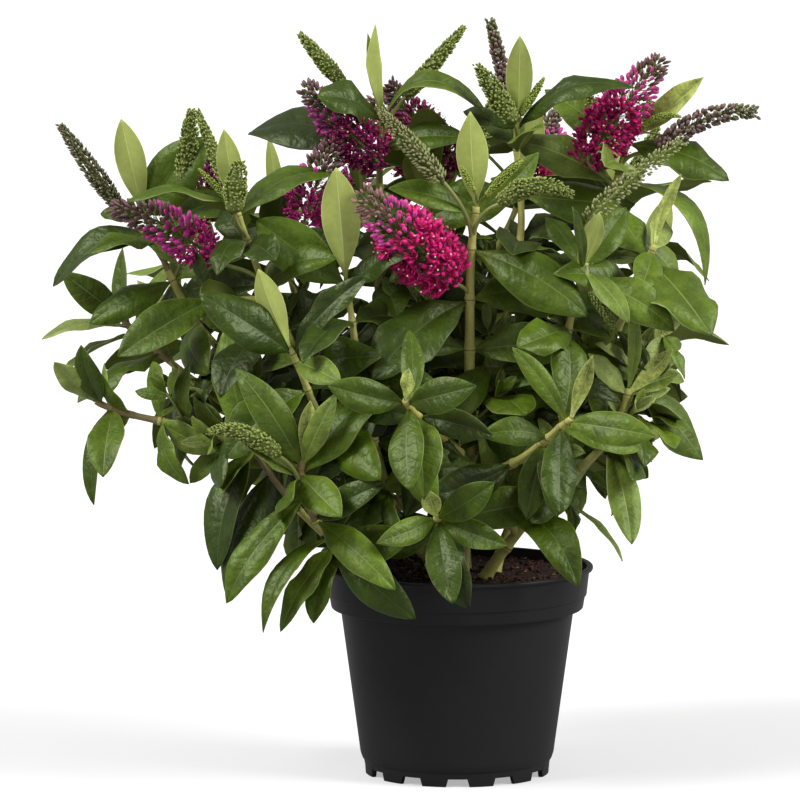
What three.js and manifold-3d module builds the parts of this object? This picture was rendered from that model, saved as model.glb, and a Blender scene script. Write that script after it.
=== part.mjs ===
// Hebe shrub in its nursery pot, in millimetres, +Z up.
// The origin is the centre of the pot's flat underside. The front of the plant looks along -Y.
import * as THREE from 'three';
import { mergeVertices } from 'three/addons/utils/BufferGeometryUtils.js';
import Module from 'manifold-3d';

const wasm = await Module();
wasm.setup();

// ---- Driving dimensions -------------------------------------------------------------------

const CLEAR = 0.3; // gap between neighbouring solids
const MEETING_GAP = CLEAR * 1.1; // pieces of two masses stay at least this far apart
const LIMB_GAP = CLEAR * 1.2; // a later limb is cut back by this much round an earlier one
const POT = {
  height: 131,
  rimRadius: 85, // outside of the rolled bead, a 17 cm pot
  bandTop: 82.7, // outside of the rim band just under its bead
  bandStep: 81, // where the rim band steps in, low on it
  bandFoot: 78.8,
  bandHeight: 26.5,
  stepHeight: 8, // from the band's lower edge up to its step
  shoulder: 73, // wall just under the rim band
  heel: 60.6, // wall where it turns in towards the feet
  foot: 57.7,
  heelHeight: 13,
  wall: 1.6,
  floor: 2, // thickness of the base above its feet
  lip: 1.6, // height of the rolled bead
  footHeight: 5.3,
  footDepth: 3, // how far a foot reaches in under the base
  padRadius: 18, // pad in the middle of the base, level with the feet
  feet: 12,
  footAngle: 15, // degrees of the circle that one foot takes
  footLean: 1.4, // how far one side of a foot slants
  ledge: 2.6, // the band's wall starts this far above its lower edge on the inside
  sides: 30,
};
const NOTCH = { depth: 12, inward: 5, below: 2, crown: 0.3 }; // gap between two feet, as cut
const SOIL_TOP = 125;
const SOIL_INSET = POT.wall + CLEAR + 0.1; // from the outside of the pot's wall to the soil
const LEAF = {
  rootShare: 0.22, // share of the length near the twig where leaves of a mass may meet
  rootThickness: 1.0,
  thickness: 1.3,
  slender: 0.4, // width over length of a young upright leaf
  broad: 0.48, // width over length of a grown leaf
  widest: 0.45, // share of the length where a leaf is widest
  fold: 0.1, // how far the margins stand above the midrib, over the width
  archYoung: 0.03, // rise of the midrib above its chord, over the length
  archGrown: 0.075,
  outward: 0.35, // how far a grown leaf turns its face out from the plant, against up
  frontward: 1.1, // how far leaves of the front half turn to the front, where the light is
  frontDepth: 60, // the turn to the front fades out this far behind the middle
  youngSplay: 30, // degrees: a leaf more upright than this counts as young
  oppositeLength: 0.94, // the opposite leaf of a pair, over the planned one
  rollJitter: 14, // degrees of seeded roll about the leaf's own chord
  swing: 14, // degrees that a leaf is pushed aside where it would touch something
};
const TWIG = { root: 2.4, tip: 1.3, side: 0.8, sides: 3, steps: 4 }; // side: root of a side shoot
const STALK = { radius: 0.9, share: 0.1, sides: 3, steps: 2 }; // share: how far up its spike it ends
const SPIKE = { sides: 5, steps: 3 };
const LIMB = { sides: 6, steps: 3, flare: 0.35, flareFade: 18 };
const BEND = 0.36; // reach of a curve's handles, over the distance between its ends
const STEM = { footRise: 0.2, tipRise: 30 }; // how far stems turn upright at foot and tip
const BOUGH = { share: 0.6, slender: 0.86, rise: 0.15 }; // share: where its mass takes over
const AXIS_POINTS = 6; // steps in which a bough's way is handed to its mass
const SIMPLIFY = 0.33; // slivers that joining leaves behind are smoothed to this
const OLDER = { // leaf pairs that go on down a twig
  gap: 31,
  bare: 6, // the lowest of a twig stays free of leaves
  splay: 104,
  splaySpread: 24,
  turnSpread: 40,
  length: 66,
  shortest: 0.85, // of the length
  longest: 1.1,
};

const COLOURS = {
  pot: { color: 0x242426, roughness: 0.5, metalness: 0 },
  soil: { color: 0x321914, roughness: 1, metalness: 0 },
  stem: { color: 0x969648, roughness: 0.7, metalness: 0 },
  foliage: { color: 0x3f6420, roughness: 0.45, metalness: 0 },
};

// ---- The planting plan --------------------------------------------------------------------

// Basal stems of the one clump: name, foot on the soil, tip, radius at foot and tip.
const STEMS = [
  ['stem_main', [2, -8], [7, -31, 204], 4.7, 3.7],
  ['stem_right', [17, -22], [58, -32, 188], 3.6, 2.9],
  ['stem_left', [-11, -19], [-40, -42, 174], 3.7, 2.9],
  ['stem_back_left', [-13, 9], [-42, 30, 190], 3.7, 2.9],
  ['stem_back', [5, 15], [4, 48, 205], 3.7, 2.9],
  ['stem_back_right', [23, 4], [50, 28, 198], 3.6, 2.9],
];

// Leafy masses: name, stem it grows from, how far along that stem, root of the mass, shoots.
// A shoot: tip, aim, where it joins the first shoot (0 to 1), leaf pairs, racemes.
// A leaf pair: distance back from the tip, turn, splay, length, splay of the opposite leaf
// (0 for none). Turn 0 looks to the front, 90 to the right; splay is measured off the axis.
// A raceme: distance back from the tip, reach of its stalk, reach of its spike, width, stage.
const MASSES = [
  ['crown', 'stem_main', 1, [7, -41, 258], [
    [[11, -45, 360], [0.15, -0.05, 1], 0, [
      [0, 283, 12, 60, 8], [4, 285, 80, 58, 40], [27, 65, 111, 86, 95],
      [58, 306, 121, 86, 90], [89, 85, 85, 68],
    ], [
      [27, [-17, -17, 43], [-37, -2, 42], 15, 'green'],
      [24, [16, -17, 27], [42, -15, 8], 14, 'green'],
      [58, [-7, -10, 9], [-55, -26, 55], 40, 'flower'],
      [1, [6, -5, 8], [22, -8, 22], 6, 'young'],
      [1, [-1, -7, 11], [-8, -4, 15], 5, 'young'],
    ]],
  ]],
  ['top_right', 'stem_main', 0.84, [39, -4, 338], [
    [[37, -5, 409], [0.1, 0, 1], 0, [
      [0, 340, 12, 56, 8], [4, 73, 61, 78, 75], [18, 200, 68, 55], [46, 95, 100, 72],
    ], [
      [18, [-1, -10, 17], [-22, -3, 34], 15, 'green'],
      [18, [-4, 15, 27], [-12, 2, 51], 11, 'mauve'],
      [1, [2, -3, 5], [14, -2, 23], 6, 'young'],
    ]],
  ]],
  ['top_left', 'stem_back_left', 1, [-48, 14, 340], [
    [[-48, 10, 413], [0.03, 0, 1], 0, [
      [0, 320, 12, 57, 10], [4, 320, 68, 56, 0], [9, 53, 60, 52, 0], [23, 250, 80, 62],
      [48, 345, 100, 66],
    ], [
      [23, [-22, 5, 40], [-26, 3, 30], 12, 'green'],
      [23, [16, 0, 33], [35, 0, 42], 12, 'green'],
      [48, [2, -10, 15], [-46, -16, 49], 30, 'flower'],
    ]],
  ]],
  ['back_centre', 'stem_back', 1, [-17, 24, 292], [
    [[-20, 20, 367], [-0.1, 0, 1], 0, [
      [0, 20, 19, 55, 12], [9, 337, 36, 40, 50], [25, 90, 72, 60], [50, 0, 95, 66],
    ], [
      [18, [21, 5, 23], [-43, 5, 55], 28, 'flower'],
    ]],
    [[-60, 62, 357], [-0.19, 0, 0.98], 0.45, [
      [0, 31, 15, 34, 10], [4, 120, 60, 34], [28, 60, 80, 58],
    ], []],
  ]],
  ['left_upper', 'stem_left', 0.9, [-106, -40, 282], [
    [[-136, -45, 358], [-0.3, 0, 0.95], 0, [
      [0, 47, 12, 52, 8], [4, 290, 60, 72, 82], [20, 337, 92, 50], [23, 19, 99, 50, 60],
      [50, 235, 80, 62],
    ], [
      [22, [-8, -15, 20], [3, -4, 28], 16, 'green'],
      [22, [-14, 20, 34], [-17, 7, 44], 10, 'green'],
      [1, [-2, -1, 4], [-21, -2, 22], 5, 'young'],
      [52, [22, 20, 34], [19, 10, 52], 30, 'flower'],
      [52, [-30, 10, 14], [-61, -4, 34], 28, 'flower'],
    ]],
    [[-150, -40, 303], [-0.8, -0.3, 0.25], 0.5, [
      [0, 327, 43, 72, 50], [16, 60, 60, 50],
    ], []],
  ]],
  ['left_top', 'stem_back_left', 0.88, [-158, -2, 278], [
    [[-195, 0, 352], [-0.4, 0, 0.9], 0, [
      [0, 53, 14, 62, 8], [4, 77, 59, 64, 60], [12, 275, 91, 70], [20, 312, 74, 52],
      [46, 100, 90, 62],
    ], [
      [36, [10, -6, 47], [6, -2, 48], 15, 'green'],
      [40, [-31, 0, 41], [-35, 0, 49], 14, 'green'],
      [36, [16, 20, 22], [14, 4, 44], 24, 'flower'],
    ]],
  ]],
  ['left_mid', 'stem_left', 0.82, [-152, 8, 236], [
    [[-209, 26, 281], [-0.75, 0.15, 0.65], 0, [
      [0, 346, 21, 50, 0], [4, 289, 51, 56, 45], [10, 283, 73, 54], [30, 292, 76, 66, 60],
    ], []],
  ]],
  ['left_centre', 'stem_left', 1, [-61, -57, 264], [
    [[-69, -60, 316], [-0.18, 0, 0.98], 0, [
      [0, 29, 12, 73, 8], [4, 260, 45, 69, 63], [26, 330, 100, 64],
    ], []],
  ]],
  ['left_front', 'stem_left', 0.72, [-82, -68, 228], [
    [[-103, -85, 277], [-0.42, -0.22, 0.88], 0, [
      [0, 110, 5, 55, 6], [4, 280, 30, 70, 68], [10, 33, 97, 50], [30, 300, 98, 66],
    ], []],
  ]],
  ['low_left', 'stem_left', 0.4, [-68, -78, 150], [
    [[-95, -100, 210], [0.26, -0.21, 0.94], 0, [
      [0, 308, 9, 32, 0], [4, 265, 41, 72, 0], [4, 65, 15, 54, 0], [10, 286, 55, 42, 0],
      [10, 102, 40, 76, 0], [9, 30, 102, 50, 0], [24, 299, 116, 80, 60],
      [40, 72, 82, 56, 0], [42, 29, 121, 74, 0], [56, 27, 136, 72, 0], [57, 318, 87, 68, 0],
      [61, 323, 84, 66, 0], [64, 332, 95, 52, 0],
    ], [
      [24, [-14, -16, 27], [-41, -4, 16], 13, 'green'],
    ]],
    [[-127, -62, 214], [-0.5, 0, 0.85], 0.25, [
      [0, 293, 129, 80, 20], [4, 319, 101, 46, 40], [20, 271, 122, 80, 60],
    ], []],
  ]],
  ['front', 'stem_main', 0.93, [-12, -66, 221], [
    [[-33, -120, 249], [-0.33, -0.77, 0.54], 0, [
      [0, 130, 31, 26, 0], [4, 269, 44, 52, 77], [9, 2, 84, 58, 95], [25, 7, 79, 56],
      [28, 70, 88, 48],
    ], []],
  ]],
  ['low_front', 'stem_main', 0.36, [-6, -66, 166], [
    [[-14, -110, 176], [-0.12, -0.97, 0.2], 0, [
      [0, 192, 43, 24, 0], [4, 117, 59, 50, 51], [9, 13, 69, 58], [9, 68, 65, 52, 0],
      [15, 19, 70, 60, 0],
    ], []],
  ]],
  ['front_right', 'stem_main', 0.74, [40, -70, 208], [
    [[68, -105, 236], [0.61, -0.6, 0.52], 0, [
      [0, 209, 34, 44, 0], [4, 54, 40, 60, 83], [10, 184, 79, 62, 97], [12, 86, 74, 54, 0],
      [25, 279, 100, 44, 0], [30, 7, 126, 49, 0], [34, 30, 110, 46, 0],
    ], []],
  ]],
  ['right_upper', 'stem_right', 1, [66, -54, 276], [
    [[78, -60, 327], [0.28, 0, 0.96], 0, [
      [0, 354, 21, 36, 12], [4, 31, 35, 52, 40], [4, 47, 113, 50, 60], [12, 69, 97, 66],
    ], [
      [23, [6, -6, 47], [58, 6, 49], 14, 'mauve'],
      [3, [2, -6, -9], [16, 4, -28], 9, 'green'],
    ]],
  ]],
  ['right_top', 'stem_back_right', 1, [90, 8, 338], [
    [[107, 10, 398], [0.31, 0, 0.95], 0, [
      [0, 60, 35, 62, 0], [4, 72, 87, 68, 75], [30, 75, 120, 76, 80], [24, 350, 85, 60],
    ], [
      [20, [23, -10, 12], [58, -6, 24], 15, 'mauve'],
      [4, [30, -5, 2], [18, -4, -12], 6, 'young'],
      [36, [-10, -8, 18], [46, 4, 62], 34, 'flower'],
      [12, [-11, 10, 22], [-14, 0, 19], 7, 'green'],
      [1, [5, -5, 11], [8, -3, 14], 5, 'young'],
      [1, [8, -8, 8], [23, -6, 7], 5, 'young'],
    ]],
  ]],
  ['right_mid', 'stem_back_right', 0.88, [101, -34, 288], [
    [[121, -40, 336], [0.41, 0, 0.91], 0, [
      [0, 345, 20, 50, 0], [4, 0, 120, 42, 60], [10, 45, 108, 74, 70], [28, 300, 90, 60],
    ], []],
  ]],
  ['right_low', 'stem_right', 0.84, [88, -42, 210], [
    [[105, -50, 248], [0.24, 0, 0.97], 0, [
      [0, 315, 18, 54, 0], [4, 290, 57, 38], [4, 8, 52, 30, 70], [36, 32, 115, 74, 60],
    ], []],
    [[127, -20, 279], [0.56, 0.3, 0.75], 0.15, [
      [0, 62, 162, 36, 0], [1, 73, 118, 34, 0], [10, 145, 54, 46, 40], [4, 20, 15, 30, 10],
    ], []],
    [[113, -20, 237], [0.64, 0, 0.77], 0.1, [
      [4, 53, 83, 58, 50], [10, 43, 84, 52, 60], [14, 53, 104, 58], [34, 47, 116, 64, 0],
    ], []],
  ]],
  ['low_right', 'stem_right', 0.45, [34, -46, 174], [
    [[63, -44, 180], [1, -0.1, 0.05], 0, [
      [0, 358, 45, 58, 0], [4, 302, 52, 50, 0], [34, 26, 69, 82, 60],
    ], []],
  ]],
  ['far_left', 'stem_left', 0.62, [-148, -38, 217], [
    [[-224, -34, 238], [-0.89, 0.06, 0.45], 0, [
      [0, 22, 40, 40, 0], [4, 41, 57, 46, 0], [12, 307, 100, 48, 0], [10, 282, 100, 62, 60],
      [23, 40, 44, 34, 60], [40, 313, 152, 46, 110], [43, 285, 116, 44, 70],
      [59, 57, 76, 42, 80],
    ], []],
  ]],
  ['back_left_top', 'stem_back_left', 0.74, [-92, 70, 264], [
    [[-112, 92, 333], [-0.2, 0.2, 1], 0, [
      [0, 20, 12, 60, 8], [4, 110, 70, 70], [10, 190, 62, 68], [28, 100, 92, 72],
      [54, 20, 100, 70],
    ], [
      [28, [-12, 14, 36], [-18, 10, 50], 14, 'green'],
      [28, [18, 16, 26], [34, 10, 40], 30, 'flower'],
    ]],
    [[-150, 66, 314], [-0.5, 0.3, 0.85], 0.2, [
      [0, 0, 12, 56, 8], [4, 80, 60, 66], [12, 180, 70, 62], [30, 80, 95, 68],
    ], [
      [8, [-10, 10, 20], [-30, 8, 42], 12, 'mauve'],
    ]],
  ]],
  ['back_top', 'stem_back', 0.88, [8, 92, 286], [
    [[-8, 108, 364], [-0.1, 0.15, 1], 0, [
      [0, 10, 12, 58, 8], [4, 100, 68, 74], [10, 190, 64, 66], [28, 100, 95, 74],
      [54, 180, 98, 70],
    ], [
      [28, [14, 12, 34], [16, 6, 50], 13, 'green'],
      [28, [-16, 14, 24], [-30, 12, 50], 32, 'flower'],
    ]],
    [[42, 96, 358], [0.25, 0.1, 1], 0.2, [
      [0, 340, 12, 56, 8], [4, 70, 66, 70], [12, 160, 70, 64], [32, 70, 95, 68],
    ], [
      [8, [8, 12, 18], [20, 10, 44], 12, 'mauve'],
    ]],
  ]],
  ['back_right_top', 'stem_back_right', 0.74, [84, 70, 266], [
    [[94, 92, 346], [0.12, 0.2, 1], 0, [
      [0, 350, 12, 60, 8], [4, 80, 68, 72], [10, 170, 66, 66], [28, 80, 95, 72],
      [54, 350, 98, 70],
    ], [
      [28, [14, 12, 30], [22, 12, 46], 13, 'green'],
      [28, [-14, 16, 26], [-20, 20, 52], 32, 'flower'],
    ]],
    [[118, 72, 304], [0.3, 0.3, 0.9], 0.2, [
      [0, 0, 12, 54, 8], [4, 90, 62, 66], [12, 180, 70, 62], [30, 90, 95, 68],
    ], []],
  ]],
  ['back_left', 'stem_back_left', 0.55, [-118, 82, 214], [
    [[-170, 102, 262], [-0.7, 0.3, 0.65], 0, [
      [0, 0, 14, 50, 8], [4, 90, 62, 64], [12, 180, 74, 62], [30, 80, 90, 70],
      [54, 170, 95, 66],
    ], []],
    [[-104, 146, 232], [-0.3, 0.8, 0.5], 0.1, [
      [0, 0, 14, 50, 8], [4, 90, 66, 64], [12, 180, 74, 62], [30, 90, 90, 66],
    ], []],
    [[-72, 118, 176], [0.2, 0.85, 0.3], 0, [
      [0, 0, 16, 44, 8], [4, 90, 70, 60], [12, 180, 80, 60], [28, 90, 100, 64],
    ], []],
  ]],
  ['back_mid', 'stem_back', 0.62, [14, 104, 226], [
    [[-14, 156, 288], [-0.2, 0.6, 0.75], 0, [
      [0, 0, 14, 52, 8], [4, 90, 62, 68], [12, 180, 72, 64], [30, 90, 90, 70],
      [54, 0, 95, 66],
    ], []],
    [[48, 152, 252], [0.4, 0.75, 0.5], 0.15, [
      [0, 0, 14, 50, 8], [4, 90, 64, 64], [12, 180, 74, 62], [30, 90, 92, 66],
    ], []],
    [[18, 146, 188], [0.1, 0.9, 0.25], 0.05, [
      [0, 0, 16, 44, 8], [4, 90, 70, 60], [12, 180, 80, 60], [28, 90, 100, 62],
    ], []],
  ]],
  ['back_right', 'stem_back_right', 0.55, [84, 66, 218], [
    [[112, 96, 266], [0.5, 0.35, 0.8], 0, [
      [0, 0, 14, 50, 8], [4, 90, 62, 64], [12, 180, 74, 62], [30, 100, 90, 70],
      [54, 10, 95, 66],
    ], []],
    [[86, 144, 236], [0.25, 0.85, 0.5], 0.1, [
      [0, 0, 14, 50, 8], [4, 90, 66, 64], [12, 180, 74, 62], [30, 90, 90, 66],
    ], []],
    [[106, 66, 194], [0.7, 0.2, 0.35], 0, [
      [0, 0, 16, 44, 8], [4, 90, 70, 60], [12, 180, 80, 60], [28, 90, 100, 60],
    ], []],
  ]],
];

// Width profile of a raceme at each stage: distance along the spike and share of its width.
const SPIKES = {
  young: [[0, 0.5], [0.3, 1], [0.7, 0.8], [1, 0.25]],
  green: [[0, 0.55], [0.22, 1], [0.65, 0.72], [1, 0.28]],
  mauve: [[0, 0.6], [0.2, 1], [0.6, 0.8], [1, 0.3]],
  flower: [[0, 0.45], [0.18, 1], [0.5, 0.95], [0.72, 0.55], [1, 0.22]],
};

// ---- Helpers ------------------------------------------------------------------------------

const UP = new THREE.Vector3(0, 0, 1);
const FRONT = new THREE.Vector3(0, -1, 0);
const RIGHT = new THREE.Vector3(1, 0, 0);
const vec = (list) => new THREE.Vector3(...list);
const radians = THREE.MathUtils.degToRad;

// A repeatable number from 0 to 1 for three whole keys.
function chance(first, second, third) {
  const value = Math.sin(first * 12.9898 + second * 78.233 + third * 37.719) * 43758.5453;
  return value - Math.floor(value);
}

// A closed solid from points and the triangles between them.
function solidFrom(points, triangles) {
  const positions = new Float32Array(points.flatMap((point) => point.toArray()));
  const mesh = new wasm.Mesh({
    numProp: 3,
    vertProperties: positions,
    triVerts: new Uint32Array(triangles.flat()),
  });
  return new wasm.Manifold(mesh);
}

// A closed three.js geometry as a solid.
function solidOf(geometry) {
  const bare = geometry.clone();
  bare.deleteAttribute('normal');
  bare.deleteAttribute('uv');
  const merged = mergeVertices(bare, 1e-4);
  const mesh = new wasm.Mesh({
    numProp: 3,
    vertProperties: new Float32Array(merged.attributes.position.array),
    triVerts: new Uint32Array(merged.index.array),
  });
  return new wasm.Manifold(mesh);
}

// A solid back as a three.js geometry.
function geometryOf(solid) {
  const mesh = solid.getMesh();
  const geometry = new THREE.BufferGeometry();
  geometry.setAttribute('position', new THREE.BufferAttribute(mesh.vertProperties, 3));
  geometry.setIndex(new THREE.BufferAttribute(mesh.triVerts, 1));
  geometry.computeVertexNormals();
  return geometry;
}

// Only the largest body of a solid.
function largest(solid) {
  return solid.decompose().reduce((best, body) => (body.volume() > best.volume() ? body : best));
}

// The pieces that must stay clear of each other: mass, solid, the part past its root, and box.
const placed = [];

function place(mass, solid, blade = solid) {
  const { min, max } = solid.boundingBox();
  const box = new THREE.Box3(vec(min), vec(max)).expandByScalar(CLEAR);
  placed.push({ mass, solid, blade, box });
}

// Whether a solid comes within the clearance of anything outside its own mass, or whether
// the blade of it, past its root, runs into anything in its own mass.
function touches(mass, solid, blade = null) {
  const { min, max } = solid.boundingBox();
  const box = new THREE.Box3(vec(min), vec(max));
  return placed.some((piece) => {
    if (!piece.box.intersectsBox(box)) {
      return false;
    }
    if (piece.mass !== mass) {
      return piece.solid.minGap(solid, LIMB_GAP) < MEETING_GAP;
    }
    return blade !== null && piece.blade.minGap(blade, CLEAR) < CLEAR / 2;
  });
}

// ---- Limbs --------------------------------------------------------------------------------

// A curve that leaves one point along a heading and reaches another along an aim.
function bend(from, heading, to, aim) {
  const reach = from.distanceTo(to) * BEND;
  return new THREE.CubicBezierCurve3(
    from,
    from.clone().addScaledVector(heading.clone().normalize(), reach),
    to.clone().addScaledVector(aim.clone().normalize(), -reach),
    to,
  );
}

// Points along part of a curve, from one share of its length to another.
function samples(curve, from, to) {
  const stride = (to - from) / AXIS_POINTS;
  return Array.from({ length: AXIS_POINTS + 1 }, (_, k) => curve.getPointAt(from + stride * k));
}

function partOf(curve, from, to) {
  return new THREE.CatmullRomCurve3(samples(curve, from, to));
}

// A tapering tube round a curve, closed at both ends. Its radius is radiusAt(0 to 1).
// Where a level is given, the foot is cut flat at that height.
function tube(curve, radiusAt, sides, steps, level = null) {
  const points = [];
  const triangles = [];
  let side = new THREE.Vector3(0, 1, 0);
  for (let step = 0; step <= steps; step += 1) {
    const along = step / steps;
    const centre = curve.getPointAt(along);
    const tangent = curve.getTangentAt(along);
    side = side.clone().addScaledVector(tangent, -side.dot(tangent)).normalize();
    const other = tangent.clone().cross(side);
    for (let k = 0; k < sides; k += 1) {
      const angle = (2 * Math.PI * k) / sides;
      const point = centre
        .clone()
        .addScaledVector(side, radiusAt(along) * Math.cos(angle))
        .addScaledVector(other, radiusAt(along) * Math.sin(angle));
      if (level !== null && step === 0) {
        point.addScaledVector(tangent, (level - point.z) / tangent.z);
      }
      points.push(point);
    }
  }
  for (let step = 0; step < steps; step += 1) {
    for (let k = 0; k < sides; k += 1) {
      const low = step * sides + k;
      const lowNext = step * sides + ((k + 1) % sides);
      triangles.push([low, lowNext, lowNext + sides], [low, lowNext + sides, low + sides]);
    }
  }
  const last = steps * sides;
  for (let k = 1; k < sides - 1; k += 1) {
    triangles.push([0, k + 1, k], [last, last + k, last + k + 1]);
  }
  return solidFrom(points, triangles);
}

// Straight taper from one radius to the other, with a flare over the first part where given.
function taper(foot, tip, flare = 0) {
  return (along) => foot + (tip - foot) * along + foot * flare * Math.exp(-along * LIMB.flareFade);
}

// ---- Pot and soil -------------------------------------------------------------------------

function potSolid() {
  const bandFoot = POT.height - POT.bandHeight;
  const floor = POT.footHeight + POT.floor;
  const outline = [
    [0, 0],
    [POT.padRadius, 0],
    [POT.padRadius, POT.footHeight],
    [POT.foot - POT.footDepth, POT.footHeight],
    [POT.foot - POT.footDepth, 0],
    [POT.foot, 0],
    [POT.foot + 0.5, POT.footHeight + 0.9],
    [POT.heel, POT.heelHeight],
    [POT.shoulder, bandFoot - 0.6],
    [POT.bandFoot, bandFoot],
    [POT.bandStep, bandFoot + POT.stepHeight],
    [POT.bandTop, POT.height - 1.5 * POT.lip],
    [POT.rimRadius, POT.height - POT.lip],
    [POT.rimRadius - 0.3, POT.height],
    [POT.bandTop - POT.wall, POT.height],
    [POT.bandFoot - POT.wall, bandFoot + POT.ledge],
    [POT.shoulder - POT.wall, bandFoot + 0.6],
    [POT.foot - POT.wall + 0.2, floor],
    [0, floor],
  ];
  const body = new THREE.LatheGeometry(outline.map(([r, z]) => new THREE.Vector2(r, z)), POT.sides);
  let solid = solidOf(body.rotateX(Math.PI / 2));
  const notchAngle = 360 / POT.feet - POT.footAngle;
  const half = POT.foot * Math.tan(radians(notchAngle / 2));
  const crown = POT.footHeight - NOTCH.crown;
  for (let k = 0; k < POT.feet; k += 1) {
    const notch = new THREE.Shape();
    notch.moveTo(-half - POT.footLean, -NOTCH.below);
    notch.lineTo(half, -NOTCH.below);
    notch.lineTo(half - POT.footLean / 2, crown);
    notch.lineTo(-half + POT.footLean, crown);
    notch.closePath();
    const cutter = new THREE.ExtrudeGeometry(notch, { depth: NOTCH.depth, bevelEnabled: false });
    cutter.rotateX(Math.PI / 2);
    cutter.translate(0, NOTCH.depth - NOTCH.inward - POT.foot, 0);
    cutter.rotateZ((2 * Math.PI * k) / POT.feet);
    solid = solid.subtract(solidOf(cutter));
  }
  return solid;
}

function soilSolid() {
  const bandFoot = POT.height - POT.bandHeight;
  const bottom = POT.footHeight + POT.floor + CLEAR;
  const share = (SOIL_TOP - bandFoot - POT.ledge) / (POT.bandHeight - POT.ledge);
  const soilEdge = POT.bandFoot + (POT.bandTop - POT.bandFoot) * share - SOIL_INSET;
  const outline = [
    [0, bottom],
    [POT.foot - SOIL_INSET, bottom],
    [POT.shoulder - SOIL_INSET, bandFoot + 3 * CLEAR],
    [POT.bandFoot - SOIL_INSET, bandFoot + POT.ledge + CLEAR],
    [soilEdge, SOIL_TOP],
    [0, SOIL_TOP],
  ];
  const body = new THREE.LatheGeometry(outline.map(([r, z]) => new THREE.Vector2(r, z)), POT.sides);
  return solidOf(body.rotateX(Math.PI / 2));
}

// ---- Leaves and racemes -------------------------------------------------------------------

// The axis at a distance back from its tip, with its front and right hand.
function nodeOn(axis, back) {
  const along = Math.max(0, 1 - back / axis.getLength());
  const point = axis.getPointAt(along);
  const heading = axis.getTangentAt(along);
  const right = RIGHT.clone().addScaledVector(heading, -heading.x).normalize();
  const front = right.clone().cross(heading);
  return { point, heading, right, front };
}

// The direction of a leaf's chord for its turn and splay at a node.
function leafChord(node, turn, splay) {
  const outward = node.front
    .clone()
    .multiplyScalar(Math.cos(radians(turn)))
    .addScaledVector(node.right, Math.sin(radians(turn)));
  return node.heading
    .clone()
    .multiplyScalar(Math.cos(radians(splay)))
    .addScaledVector(outward, Math.sin(radians(splay)));
}

// One leaf: a four-sided blade, arched along its length and folded along its midrib.
// With a start above 0 it is only the blade past that share of the length.
function leafSolid(node, chord, length, splay, roll, start = 0) {
  const young = splay < LEAF.youngSplay;
  const width = length * (young ? LEAF.slender : LEAF.broad);
  const arch = length * (young ? LEAF.archYoung : LEAF.archGrown);
  const outward = new THREE.Vector3(node.point.x, node.point.y, 0).normalize();
  const front = THREE.MathUtils.clamp(1 - node.point.y / LEAF.frontDepth, 0, 1);
  const grown = node.heading
    .clone()
    .addScaledVector(outward, LEAF.outward)
    .addScaledVector(FRONT, LEAF.frontward * front);
  // A young leaf is still clasped to its shoot and shows its back to the front of the plant.
  const facing = young ? node.front.clone().negate() : grown;
  const face = facing.addScaledVector(chord, -facing.dot(chord)).normalize();
  face.applyAxisAngle(chord, radians(roll));
  const across = chord.clone().cross(face);
  const at = (along, side, rise) =>
    node.point
      .clone()
      .addScaledVector(chord, length * along)
      .addScaledVector(across, side * width)
      .addScaledVector(face, 4 * arch * along * (1 - along) + rise);
  const fold = LEAF.fold * width;
  const half = LEAF.thickness / 2;
  const points = [
    at(start, 0, LEAF.rootThickness / 2),
    at(start, 0, -LEAF.rootThickness / 2),
    at(LEAF.widest, 0.5, fold),
    at(1, 0, 0),
    at(LEAF.widest, -0.5, fold),
    at(0.5, 0, half),
    at(0.5, 0, -half),
  ];
  const triangles = [
    [5, 0, 2], [5, 2, 3], [5, 3, 4], [5, 4, 0], [0, 1, 2],
    [6, 2, 1], [6, 3, 2], [6, 4, 3], [6, 1, 4], [0, 4, 1],
  ];
  return solidFrom(points, triangles);
}

// The leaf as the plan has it, or swung aside where that would touch something; else nothing.
function fitLeaf(mass, node, turn, splay, length, roll) {
  const swings = [[0, 0], [1, 0], [-1, 0], [0, -1], [0, 1], [1, 1], [-1, -1], [2, 0], [-2, 0]];
  for (const [shrink, apart] of [[1, true], [0.88, true], [1, false]]) {
    for (const [turns, splays] of swings) {
      const newSplay = Math.max(4, splay + splays * LEAF.swing);
      const chord = leafChord(node, turn + turns * LEAF.swing, newSplay);
      const leaf = leafSolid(node, chord, length * shrink, splay, roll);
      const blade = leafSolid(node, chord, length * shrink, splay, roll, LEAF.rootShare);
      if (!touches(mass, leaf, apart ? blade : null)) {
        return { leaf, blade };
      }
    }
  }
  return null;
}

// One raceme: its stalk and its spike as one closed spindle.
function racemeSolids(node, [, stalk, reach, width, stage]) {
  const base = node.point.clone().add(vec(stalk));
  const tip = base.clone().add(vec(reach));
  const stalkLine = bend(node.point, node.heading, base.clone().lerp(tip, STALK.share), vec(reach));
  const spikeLine = new THREE.LineCurve3(base, tip);
  const profile = SPIKES[stage];
  const radiusAt = (along) => {
    const index = Math.max(1, profile.findIndex(([place]) => place >= along - 1e-6));
    const [low, lowShare] = profile[index - 1];
    const [high, highShare] = profile[index];
    const share = lowShare + ((highShare - lowShare) * (along - low)) / (high - low);
    return (width / 2) * share;
  };
  return [
    tube(stalkLine, taper(STALK.radius, STALK.radius), STALK.sides, STALK.steps),
    tube(spikeLine, radiusAt, SPIKE.sides, SPIKE.steps),
  ];
}

// ---- Growing the plant --------------------------------------------------------------------

const plant = new THREE.Group();

function addMesh(name, solid, look) {
  const material = new THREE.MeshStandardMaterial(COLOURS[look]);
  const mesh = new THREE.Mesh(geometryOf(solid), material);
  mesh.name = name;
  plant.add(mesh);
}

const pot = potSolid();
const soil = soilSolid();
addMesh('pot', pot, 'pot');
addMesh('soil', soil, 'soil');
place('pot', pot);
place('soil', soil);

// A limb is kept clear of every limb placed before it, which is grown by the clearance.
const grownLimbs = [];

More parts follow.
